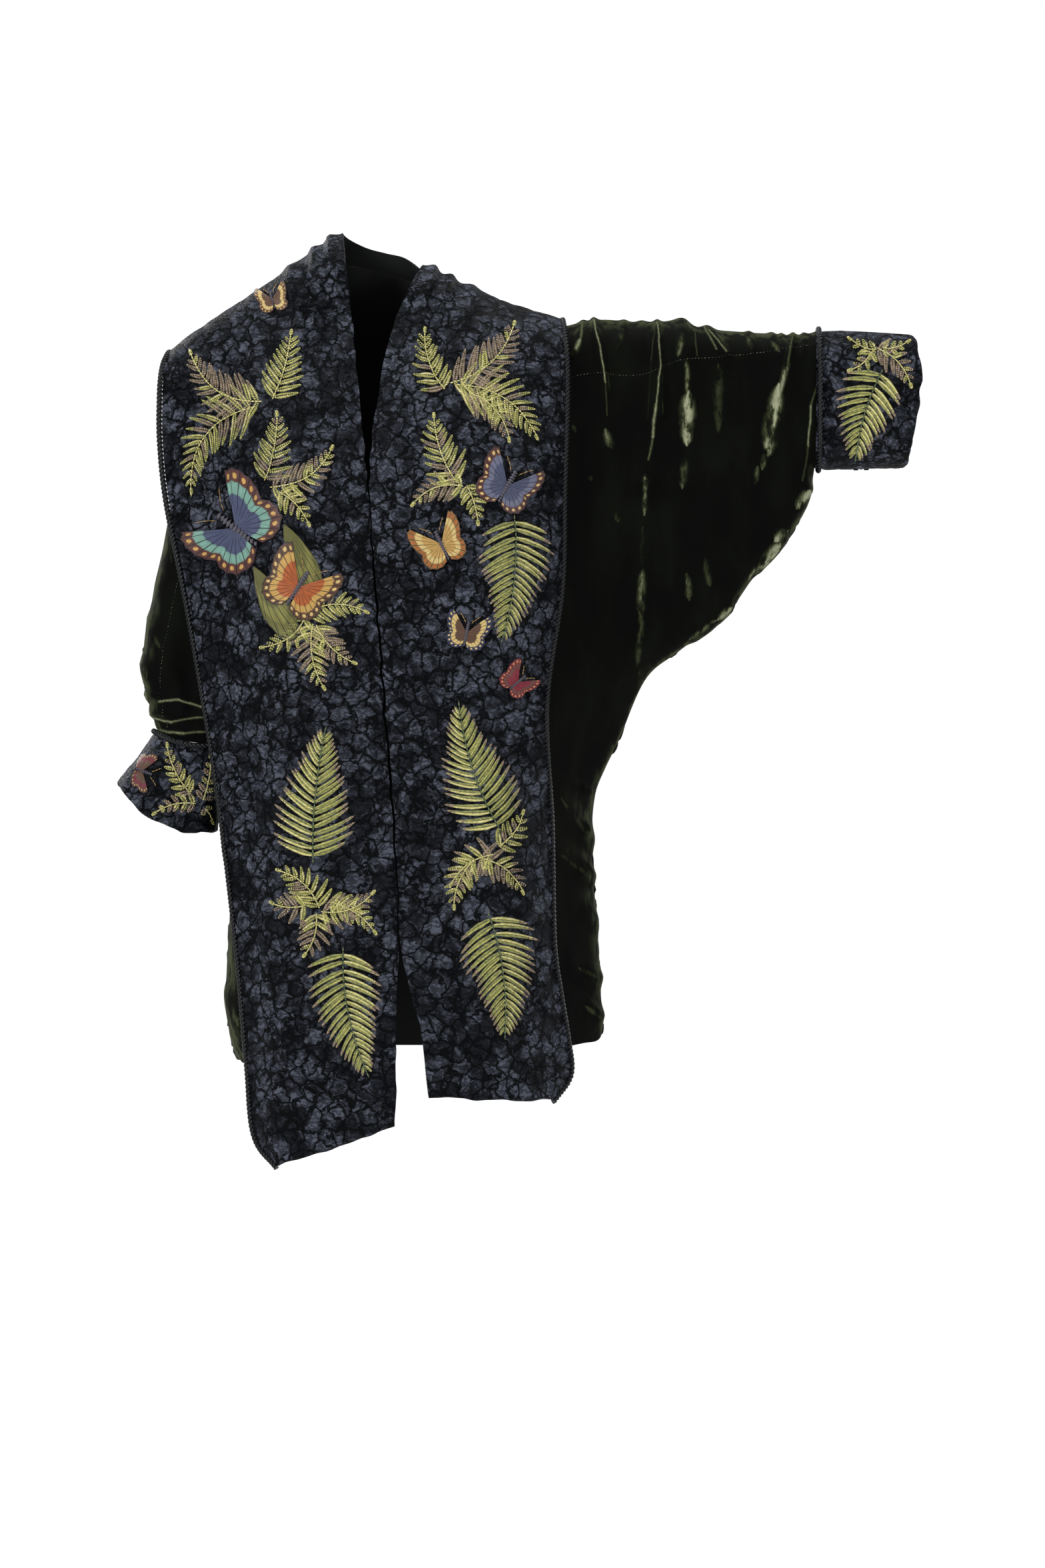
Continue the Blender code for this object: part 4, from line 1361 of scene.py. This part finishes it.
class Stitches:
    """A growing list of stitches: place, direction, length, width and colour."""

    def __init__(self):
        self.rows = []

    def add(self, x, z, turn, length, width, colours, lift=0.0):
        """Add one stitch, in a thread picked from a few near colours."""
        colour = colours[dice.integers(len(colours))]
        self.rows.append((x, z, turn, length, width, lift, *colour[:3]))

    def line(self, points, width, colours, lift=0.6):
        """Add a row of stitches along a line."""
        for (start_x, start_z), (end_x, end_z) in zip(points[:-1], points[1:]):
            run = math.hypot(end_x - start_x, end_z - start_z)
            turn = math.atan2(end_z - start_z, end_x - start_x)
            self.add(start_x, start_z, turn, run * 1.5, width, colours, lift)


RIB_PARTS = 60
LANCE_SPACING = 8.4
LACY_SPACING = 9.5


def rib_curve(base, tip, bend):
    """Points along a bent rib, and its direction at each."""
    base, tip = np.array(base, float), np.array(tip, float)
    run = tip - base
    side = np.array([-run[1], run[0]]) * bend
    share = np.linspace(0.0, 1.0, RIB_PARTS + 1)[:, None]
    points = base + run * share + side * 2.0 * share * (1.0 - share)
    steps = np.gradient(points, axis=0)
    return points, np.arctan2(steps[:, 1], steps[:, 0])


def leaflet(stitches, start, turn, length, half_width, curl, tones, spacing, slant, fill=1.7):
    """Two rows of slanted stitches on a curved midrib, pointed at the end."""
    count = max(3, int(length / spacing))

    def on_midrib(share):
        bend = turn + 0.5 * curl * share
        return start[0] + length * share * math.cos(bend), start[1] + length * share * math.sin(bend)

    for index in range(count):
        share = (index + 0.3) / count
        x, z = on_midrib(share)
        reach = half_width * (1.0 - share) ** 0.6 * min(1.0, 0.45 + 3.0 * share)
        at_tip = share + 0.25 * dice.random() > tones["change"]
        for side in (-1, 1):
            colours = tones["tip"] if at_tip else (tones["upper"] if side > 0 else tones["lower"])
            angle = turn + curl * share + side * slant
            stitches.add(x, z, angle, reach * 1.4 + 0.8, spacing * fill, colours)
    stitches.line([on_midrib(0.9), on_midrib(1.0)], spacing, tones["tip"], 0.0)


def lance_fern(stitches, base, tip, width, bend):
    """A long fern with simple leaflets, widest below its middle."""
    length = math.hypot(tip[0] - base[0], tip[1] - base[1])
    pairs = int(length / LANCE_SPACING)
    points, turns = rib_curve(base, tip, bend)
    for index in range(pairs):
        share = 0.07 + 0.9 * (index / pairs) ** 0.92
        here = int(share * RIB_PARTS)
        reach = 0.5 * width * min(1.0, 0.62 + 1.9 * share) * (1.0 - share) ** 0.62 * 1.25
        for side in (-1, 1):
            angle = turns[here] + side * math.radians(82 - 44 * share + dice.uniform(-3, 3))
            tones = {"upper": PALE if side > 0 else GREEN, "lower": OLIVE, "tip": MAUVE, "change": 0.93}
            long, half_width = reach * dice.uniform(0.92, 1.05), 5.2 * (1.0 - 0.6 * share)
            leaflet(stitches, points[here], angle, long, half_width, -side * 0.35, tones, 1.8, 0.62)
    stitches.line([tuple(point) for point in points[::2]], 2.1, MOSS, 0.9)


def lacy_fern(stitches, base, tip, width, bend, mix):
    """A bracken frond whose leaflets are toothed; mix is how much of it is in the mauve thread."""
    length = math.hypot(tip[0] - base[0], tip[1] - base[1])
    pairs = int(length / LACY_SPACING)
    points, turns = rib_curve(base, tip, bend)
    for index in range(pairs):
        share = 0.05 + 0.9 * index / pairs
        here = int(share * RIB_PARTS)
        reach = 1.4 * width * min(1.0, 0.75 + 2.0 * share) * (1.0 - share) ** 0.62
        for side in (-1, 1):
            angle = turns[here] + side * math.radians(70 - 28 * share + dice.uniform(-5, 5))
            main = MAUVE if dice.random() < mix else GREEN
            lower, end = PALE if main is GREEN else main, MAUVE if mix > 0.3 else GREEN
            tones = {"upper": main, "lower": lower, "tip": end, "change": 0.75}
            long, half_width = reach * dice.uniform(0.88, 1.08), 4.4 * (1.0 - 0.45 * share)
            leaflet(stitches, points[here], angle, long, half_width, -side * 0.25, tones, 2.35, 0.8, 1.2)
    tones = {"upper": GREEN, "lower": GREEN, "tip": PALE, "change": 0.8}
    leaflet(stitches, points[-4], turns[-1], 8.0, 2.6, 0.0, tones, 2.6, 0.7)
    stitches.line([tuple(point) for point in points[::2]], 2.4, PALE, 1.1)


# %% The tree that raises the stitches
def stitch_shape():
    """One raised stitch, 1 long and 1 wide, pointed at both ends."""
    points = [(0, 0, -0.2), (0.42, 0.5, -0.2), (1, 0, -0.2), (0.42, -0.5, -0.2), (0.4, 0, 1)]
    faces = [(0, 4, 1), (1, 4, 2), (2, 4, 3), (3, 4, 0), (0, 1, 2, 3)]
    mesh = bpy.data.meshes.new("stitch")
    mesh.from_pydata(points, [], [face[::-1] for face in faces])
    mesh.shade_smooth()
    return bpy.data.objects.new("stitch", mesh)


def stitch_tree():
    """Puts a stitch on each point, turned along its thread and up from the cloth."""
    inputs = [("Places", "Geometry", None), ("Stitch", "Object", None), ("Thread", "Material", None)]
    group = Group("raised stitches", "GeometryNodeTree", inputs, ("Stitches", "Geometry"))
    given, stored = group.given, {}
    for name in ("along", "up", "size"):
        node = group.add("GeometryNodeInputNamedAttribute", {"data_type": "FLOAT_VECTOR"}, Name=name)
        stored[name] = node.outputs["Attribute"]
    align = "FunctionNodeAlignRotationToVector"
    threaded = group.add(align, {"axis": "X"}, Vector=stored["along"]).outputs["Rotation"]
    upright = group.add(align, {"axis": "Z", "pivot_axis": "X"}, Rotation=threaded, Vector=stored["up"])
    shape = group.add("GeometryNodeObjectInfo", Object=given["Stitch"]).outputs["Geometry"]
    places = group.add(
        "GeometryNodeInstanceOnPoints", Points=given["Places"], Instance=shape,
        Rotation=upright.outputs["Rotation"], Scale=stored["size"],
    )
    return group.finish(places.outputs["Instances"], given["Thread"])


def thread_material():
    """Rayon thread: each stitch has its own colour and a silky gloss."""
    nodes = Material("embroidery thread")
    colour = nodes.stored("thread")
    strand = nodes.noise(nodes.place(), 1400.0, 2.0)
    dark = nodes.mix(0.55, colour, picked(20, 22, 12))
    return nodes.surface(
        Base_Color=nodes.mix(nodes.ramp(strand, 0.3, 0.6), dark, colour),
        Roughness=0.5, Sheen_Weight=0.1, Specular_IOR_Level=0.45,
        Normal=nodes.bump(strand, 0.4, 0.3),
    )


thread = thread_material()
one_stitch = stitch_shape()
raise_stitches = stitch_tree()
STITCH_HEIGHT = 0.9
STITCH_LIFT = 0.35
LONGEST_STRETCH = 1.6


def carry(mesh, key, values, kind="VECTOR"):
    """Store a vector or a colour on each point of a mesh."""
    stored = mesh.attributes.new(key, f"FLOAT_{kind}", "POINT")
    stored.data.foreach_set(kind.lower(), np.asarray(values, "f").ravel())


def sew(name, half, stitches, place="band"):
    """Turn a list of stitches into one mesh on the cloth."""
    x, z, turn, length, width, lift, red, green, blue = np.array(stitches.rows).T
    lift = lift + STITCH_LIFT
    start, normal = cloth_point(half, x, z, lift, place)
    ahead, _ = cloth_point(half, x + length * np.cos(turn), z + length * np.sin(turn), lift, place)
    run = ahead - start
    long = np.minimum(np.linalg.norm(run, axis=1), length * LONGEST_STRETCH)
    size = np.stack([long, width, np.full_like(width, STITCH_HEIGHT)], axis=1)
    colour = np.stack([red, green, blue, np.ones_like(red)], axis=1)
    raise_threads(name, start, run, normal, size, colour)


def raise_threads(name, start, run, normal, size, colour):
    """Raise one stitch at each place, by the tree, and keep them as one mesh."""
    mesh = bpy.data.meshes.new(f"{name}_places")
    mesh.from_pydata((start * MM).tolist(), [], [])
    for key, values in (("along", run), ("up", normal), ("size", size * MM)):
        carry(mesh, key, values)
    carry(mesh, "thread", colour, "COLOR")
    thing = run_tree(name, raise_stitches, mesh, Stitch=one_stitch, Thread=thread)
    for key in ("along", "up", "size"):
        if key in thing.data.attributes:
            thing.data.attributes.remove(thing.data.attributes[key])
    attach(thing, "root")
    print(thing.name, len(start), "stitches,", len(thing.data.polygons), "faces")


# %% The stitches of the overarm seams
SEAM_STITCH = (2.2, 0.7, 0.45)
SEAM_SPACING = 4.4
GLINT = [picked(150, 152, 120), picked(88, 92, 66), picked(40, 44, 28)]


def seam_stitches(half, face):
    """A row of small stitches along one overarm seam."""
    sign = -1 if face == "front" else 1
    ribs = np.linspace(4.5 if half == "left" else 5.0, SEAM_RIB - 0.1, 600)
    fall = sign * rib_row(half, ribs)[6]
    line = form(half, ribs, fall)
    normal = outward(at_form(half), ribs, fall, SIGN[half])
    line = line + normal * (gathered(half, ribs, line)[:, None] + 0.2)
    run = np.gradient(line, axis=0)
    travelled = np.concatenate([[0.0], np.cumsum(np.linalg.norm(np.diff(line, axis=0), axis=1))])
    places = np.arange(0.0, travelled[-1], SEAM_SPACING)
    picks = np.searchsorted(travelled, places)
    colours = np.array([GLINT[dice.integers(len(GLINT))] for _ in picks])
    size = np.tile(SEAM_STITCH, (len(picks), 1))
    name = f"overarm_stitches_{face}_{half}"
    raise_threads(name, line[picks], run[picks], normal[picks], size, colours)


for half in SIGN:
    for face in ("front", "back"):
        seam_stitches(half, face)

# %% [markdown]
# Where each fern lies is a short table, a row for each frond. The functions above draw every frond anew
# from its rib and its width.

# %% The ferns of the band and the cuffs
# columns: base_x, base_z, tip_x, tip_z, width, bend, share of mauve thread
LACY = {
    ("band", "right"): [
        (-150, -130, -246, -62, 31, 0.35, 0.65),
        (-138, -128, -116, -42, 27, -0.08, 0.12),
        (-158, -136, -244, -246, 33, -0.45, 0.3),
        (-146, -232, -132, -146, 24, -0.12, 0.15),
        (-140, -240, -62, -190, 24, -0.32, 0.4),
        (-128, -246, -92, -286, 18, 0.15, 0.1),
        (-96, -400, -18, -398, 22, 0.28, 0.2),
        (-86, -412, -72, -494, 25, -0.2, 0.35),
        (-96, -404, -148, -442, 20, 0.3, 0.1),
        (-82, -414, -34, -462, 20, -0.2, 0.6),
        (-78, -772, -128, -724, 24, -0.25, 0.15),
        (-76, -776, -10, -752, 22, -0.28, 0.5),
        (-82, -778, -96, -830, 24, 0.2, 0.35),
        (-66, -764, -8, -802, 18, 0.2, 0.1),
        (-96, -768, -134, -766, 20, 0.2, 0.6),
    ],
    ("band", "left"): [
        (80, -116, 54, -38, 23, 0.2, 0.12),
        (86, -108, 168, -26, 32, -0.3, 0.75),
        (94, -110, 196, -178, 34, 0.32, 0.25),
        (110, -120, 160, -180, 24, 0.3, 0.5),
        (96, -236, 66, -148, 27, 0.15, 0.2),
        (104, -240, 40, -262, 20, -0.3, 0.45),
        (108, -238, 122, -284, 16, 0.1, 0.1),
        (146, -694, 176, -652, 18, -0.2, 0.1),
        (140, -704, 88, -742, 24, -0.25, 0.55),
        (124, -708, 176, -752, 22, 0.25, 0.6),
        (116, -712, 92, -770, 20, -0.2, 0.25),
    ],
    ("cuff", "left"): [
        (632, -60, 600, -46, 12, 0.2, 0.15),
        (632, -58, 676, -104, 19, 0.25, 0.6),
        (626, -62, 600, -84, 12, 0.2, 0.3),
        (640, -58, 672, -50, 10, -0.2, 0.1),
    ],
    ("cuff", "right"): [
        (-246, -628, -276, -566, 15, 0.15, 0.2),
        (-240, -640, -292, -652, 13, -0.2, 0.7),
        (-232, -636, -222, -580, 12, -0.1, 0.4),
        (-230, -646, -222, -660, 8, 0.1, 0.2),
    ],
}
# columns: base_x, base_z, tip_x, tip_z, width, bend
LANCE = {
    ("band", "right"): [(-86, -716, -70, -544, 104, 0.06), (-48, -820, -16, -984, 98, -0.12)],
    ("band", "left"): [(166, -274, 150, -436, 92, 0.1), (150, -676, 98, -512, 98, 0.1),
                       (134, -776, 154, -936, 98, 0.1)],
    ("cuff", "left"): [(640, -84, 606, -198, 88, -0.1)],
    ("cuff", "right"): [],
}
for (place, half), rows in LACY.items():
    stitches = Stitches()
    for base_x, base_z, tip_x, tip_z, width, bend in LANCE[place, half]:
        lance_fern(stitches, (base_x, base_z), (tip_x, tip_z), width, bend)
    for base_x, base_z, tip_x, tip_z, width, bend, mauve in rows:
        lacy_fern(stitches, (base_x, base_z), (tip_x, tip_z), width, bend, mauve)
    sew(f"ferns_{place}_{half}", half, stitches, place)

# %% [markdown]
# ## Butterflies and broad leaves
#
# These are filled areas of satin stitch with outlined veins. Each wing is a fan of points carried on to the
# cloth. It stores how far out and how far round each point lies, and one material paints the zones, spots
# and veins from those two values, so the edges stay crisp whatever the mesh.

# %% The thread painting of a wing
def wing_material():
    """Zones, spots and veins from the wing's own two coordinates."""
    nodes = Material("satin stitch")
    apart = nodes.add("ShaderNodeSeparateXYZ", Vector=nodes.stored("wing", "Vector"))
    out, around, veins = apart.outputs["X"], apart.outputs["Y"], apart.outputs["Z"]
    turned = nodes.add("ShaderNodeCombineXYZ", X=nodes.times(out, 5.0), Y=nodes.times(around, 70.0))
    strand = nodes.noise(turned.outputs[0], 1.0, 3.0)
    ragged = nodes.plus(out, nodes.times(nodes.math("SUBTRACT", strand, 0.5), 0.09))
    zone = nodes.mix(nodes.ramp(ragged, 0.55, 0.59), nodes.stored("inner"), nodes.stored("middle"))
    zone = nodes.mix(nodes.ramp(ragged, 0.76, 0.79), zone, nodes.stored("rim"))
    cell = nodes.math("SUBTRACT", nodes.math("FRACT", nodes.times(around, veins)), 0.5)
    away = nodes.math("POWER", nodes.math("DIVIDE", nodes.math("SUBTRACT", out, 0.88), 0.055), 2.0)
    away = nodes.plus(away, nodes.math("POWER", nodes.math("DIVIDE", cell, 0.24), 2.0))
    zone = nodes.mix(nodes.math("SUBTRACT", 1.0, nodes.ramp(away, 0.7, 1.0)), zone, nodes.stored("spot"))
    vein = nodes.ramp(nodes.math("ABSOLUTE", cell), 0.4, 0.46)
    edge = nodes.ramp(out, 0.965, 0.985)
    line = nodes.math("MAXIMUM", vein, edge)
    zone = nodes.mix(nodes.times(line, 0.85), zone, picked(18, 16, 22))
    shaded = nodes.mix(nodes.times(nodes.ramp(strand, 0.75, 0.3), 0.55), zone, picked(14, 12, 12))
    return nodes.surface(
        Base_Color=shaded, Roughness=0.5, Sheen_Weight=0.03, Specular_IOR_Level=0.3,
        Normal=nodes.bump(nodes.math("SUBTRACT", strand, line), 0.5, 0.5),
    )


satin = wing_material()
# columns: angle in degrees, reach as a share of the wing
FORE_WING = [(-4, 0.62), (12, 0.74), (28, 0.88), (42, 1.0), (50, 0.96)]
HIND_WING = [(-82, 0.5), (-62, 0.68), (-40, 0.76), (-20, 0.72), (-2, 0.6)]
LEAF = [(-24, 0.12), (-16, 0.62), (-8, 0.88), (0, 1.0), (8, 0.86), (16, 0.6), (24, 0.12)]
WING_STEPS = (12, 19)
WING_SCALLOP = 0.035
WING_DOME = 0.35
WING_EDGE = math.radians(50)
CUFF_SHORTEN = 0.55
WING_LIFT = 2.2
LEAF_LIFT = 1.1


def fan(half, root, turn, size, flip, shape, veins, squeeze, place, lift, shorten=1.0):
    """The outer and inner points of one wing or leaf, and its coordinates."""
    angles, reaches = np.array(shape, float).T
    share = np.linspace(0.0, 1.0, WING_STEPS[1])
    angle = np.radians(np.interp(share, np.linspace(0, 1, len(angles)), angles))
    reach = np.interp(share, np.linspace(0, 1, len(reaches)), reaches)
    reach = reach * (1.0 - WING_SCALLOP * np.abs(np.sin(share * veins * math.pi)))
    out, around = np.meshgrid(np.linspace(0.03, 1.0, WING_STEPS[0]), share, indexing="ij")
    across = flip * squeeze * size * out * reach * np.cos(angle)
    up = shorten * size * out * reach * np.sin(angle)
    x = root[0] + across * math.cos(turn) - up * math.sin(turn)
    z = root[1] + across * math.sin(turn) + up * math.cos(turn)
    dome = WING_DOME * np.sin(math.pi * np.clip(out, 0.0, 0.97)) * np.sin(math.pi * around)
    outer, _ = cloth_point(half, x, z, lift + dome, place)
    inner, _ = cloth_point(half, x, z, np.full_like(x, 0.1), place)
    return outer, inner, np.stack([out, around, np.full_like(out, veins)], axis=-1)


def patch(name, fans, colours):
    """Join fans into one closed, painted mesh."""
    points, quads, values, paints, base = [], [], [], [], 0
    for (outer, inner, value), paint in zip(fans, colours):
        quads.append(wall_quads(*outer.shape[:2], outer, inner) + base)
        points += [outer.reshape(-1, 3), inner.reshape(-1, 3)]
        values += [value.reshape(-1, 3)] * 2
        paints += [paint] * (2 * value.shape[0] * value.shape[1])
        base += 2 * outer.shape[0] * outer.shape[1]
    mesh = bpy.data.meshes.new(name)
    mesh.from_pydata((np.concatenate(points) * MM).tolist(), [], np.concatenate(quads).tolist())
    carry(mesh, "wing", np.concatenate(values))
    for index, key in enumerate(("inner", "middle", "rim", "spot")):
        carry(mesh, key, [paint[index] for paint in paints], "COLOR")
    mesh.shade_smooth()
    mesh.set_sharp_from_angle(angle=WING_EDGE)
    mesh.materials.append(satin)
    thing = new_object(name, mesh)
    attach(thing, "root")
    print(thing.name, len(mesh.polygons), "faces")


# %% The butterflies and leaves
SLATE, MINT, MAROON = picked(70, 78, 108), picked(118, 160, 146), picked(88, 48, 44)
OCHRE, RUST, CRIMSON = picked(196, 156, 84), picked(176, 92, 44), picked(136, 30, 48)
CREAM, NAVY, BROWN = picked(214, 186, 120), picked(42, 50, 84), picked(96, 66, 46)
LEAF_GREEN, LEAF_PALE = picked(104, 104, 54), picked(128, 126, 66)
BODY = picked(74, 70, 84)
# columns: place, half, x, z, size, turn in degrees, squeeze, inner, middle, rim, spot
BUTTERFLIES = [
    ("band", "right", -182, -290, 80, 52, 1.0, SLATE, MINT, MAROON, OCHRE),
    ("band", "right", -104, -366, 60, -32, 1.0, RUST, OCHRE, BROWN, CREAM),
    ("band", "right", -140, 2, 28, 12, 1.0, BROWN, CREAM, BROWN, OCHRE),
    ("band", "left", 158, -238, 53, -28, 0.9, SLATE, picked(104, 108, 132), MAROON, CREAM),
    ("band", "left", 76, -312, 47, 26, 0.9, OCHRE, CREAM, picked(150, 104, 52), RUST),
    ("band", "left", 108, -424, 37, -12, 1.0, BROWN, CREAM, NAVY, CREAM),
    ("band", "left", 170, -486, 31, -48, 0.85, CRIMSON, picked(110, 62, 56), CRIMSON, OCHRE),
    ("cuff", "right", -307, -600, 34, 252, 1.0, BROWN, picked(112, 26, 42), MAROON, OCHRE),
]
# shares of a butterfly's size: where its body starts and ends, how thick it is, and the steps of a feeler
BODY_REACH = (-0.42, 0.34)
BODY_STITCHES = 12
BODY_THICK = 0.16
FEELER_STEPS = (0.32, 0.42, 0.52, 0.6)
# columns: half, x, z, size, turn in degrees
LEAVES = [
    ("right", -122, -286, 112, -66),
    ("right", -160, -338, 112, -62),
]
for index, (half, x, z, size, turn) in enumerate(LEAVES):
    leaf = fan(half, (x, z), math.radians(turn), size, 1, LEAF, 9, 1.0, "band", LEAF_LIFT)
    patch(f"leaf_{index + 1}", [leaf], [(LEAF_GREEN, LEAF_PALE, LEAF_GREEN, LEAF_GREEN)])
for index, (place, half, x, z, size, turn, squeeze, *paint) in enumerate(BUTTERFLIES):
    turned = math.radians(turn)
    shorten = CUFF_SHORTEN if place == "cuff" else 1.0
    fans = []
    for flip, narrow in ((1, squeeze), (-1, 1.0)):
        for shape, veins in ((HIND_WING, 6), (FORE_WING, 5)):
            wing = (half, (x, z), turned, size, flip, shape, veins, narrow, place, WING_LIFT, shorten)
            fans.append(fan(*wing))
    patch(f"butterfly_{index + 1}", fans, [paint] * len(fans))
    stitches = Stitches()
    up_x, up_z = -math.sin(turned), math.cos(turned)
    for step in np.linspace(*BODY_REACH, BODY_STITCHES):
        thick = size * BODY_THICK * (1.0 - abs(step - 0.1))
        from_x = x + size * step * up_x - 0.5 * thick * up_z
        from_z = z + size * step * up_z + 0.5 * thick * up_x
        stitches.add(from_x, from_z, turned, thick, size * 0.1, [BODY], 2.4)
    for side in (-1, 1):
        feeler = []
        for reach in FEELER_STEPS:
            apart = side * 0.9 * reach
            end_x, end_z = up_x + apart * up_z, up_z - apart * up_x
            feeler.append((x + size * reach * end_x, z + size * reach * end_z))
        stitches.line(feeler, 1.1, [OCHRE], 1.6)
    sew(f"butterfly_body_{index + 1}", half, stitches, place)
bpy.data.objects.remove(one_stitch, do_unlink=True)

# %% [markdown]
# ## Light, floor and camera
#
# The coat was photographed from straight in front on a pale ground. Large soft lights on both sides bring
# out the pile and the pads, and a long lens keeps the proportions.

# %% Floor, lights and camera
FLOOR_Z = -1.62
FLOOR_REACH = 40.0
FLOOR_GLOW = 0.75
SEEN_STRENGTH = 1.05
LIGHT_STRENGTH = 0.3
WHITE = (1.0, 1.0, 1.0, 1.0)
corners = [(x * FLOOR_REACH, y * FLOOR_REACH, FLOOR_Z) for x, y in ((-1, -1), (1, -1), (1, 1), (-1, 1))]
floor_mesh = bpy.data.meshes.new("floor")
floor_mesh.from_pydata(corners, [], [(0, 1, 2, 3)])
floor = new_object("floor", floor_mesh)
pale = Material("pale floor")
glow = pale.times(pale.add("ShaderNodeLightPath").outputs["Is Camera Ray"], FLOOR_GLOW)
floor_mesh.materials.append(pale.surface(
    Base_Color=(0.9, 0.9, 0.9, 1.0), Roughness=0.9, Specular_IOR_Level=0.1,
    Emission_Color=WHITE, Emission_Strength=glow,
))

world = bpy.data.worlds.new("studio")
bpy.context.scene.world = world
world.use_nodes = True
sky = Nodes(world.node_tree)
seen = sky.add("ShaderNodeLightPath").outputs["Is Camera Ray"]
strength = sky.add("ShaderNodeMapRange", Value=seen, To_Min=LIGHT_STRENGTH, To_Max=SEEN_STRENGTH)
background = sky.tree.nodes["Background"]
sky.put(background.inputs["Strength"], strength.outputs["Result"])
sky.put(background.inputs["Color"], WHITE)
bpy.context.scene.view_settings.view_transform = "Standard"


def soft_light(name, place, target, size, power):
    """A large square light that faces a point."""
    data = bpy.data.lights.new(name, "AREA")
    data.shape = "SQUARE"
    data.size = size
    data.energy = power
    thing = new_object(name, data)
    thing.location = place
    away = np.array(target) - np.array(place)
    lean = math.atan2(math.hypot(away[0], away[1]), -away[2])
    thing.rotation_euler = (lean, 0.0, math.atan2(-away[0], away[1]))


CHEST = (0.1, 0.0, -0.5)
# columns: name, place, target and size in metres, power in watts
LIGHTS = [
    ("key", (-2.4, -2.4, 1.5), CHEST, 1.2, 130.0),
    ("fill", (2.8, -2.2, 0.8), CHEST, 1.2, 60.0),
    ("top", (0.2, 0.6, 2.4), (0.1, 0.0, -0.3), 1.4, 50.0),
    ("behind left", (-2.2, 2.8, 1.0), CHEST, 1.4, 90.0),
    ("behind right", (2.6, 2.6, 0.6), CHEST, 1.4, 60.0),
]
for light in LIGHTS:
    soft_light(*light)
print("lights:", len(LIGHTS))

CAMERA_AWAY = 8.0
FRAME_HEIGHT = 2.0
PLANE_Y = -0.08
SENSOR = 36.0
camera = new_object("camera", bpy.data.cameras.new("camera"))
camera.data.sensor_width = SENSOR
camera.data.lens = SENSOR * (CAMERA_AWAY + PLANE_Y) / FRAME_HEIGHT
camera.location = (0.1785, -CAMERA_AWAY, -0.615)
camera.rotation_euler = (math.radians(90.0), 0.0, 0.0)
camera.data.clip_end = 200.0
bpy.context.scene.camera = camera
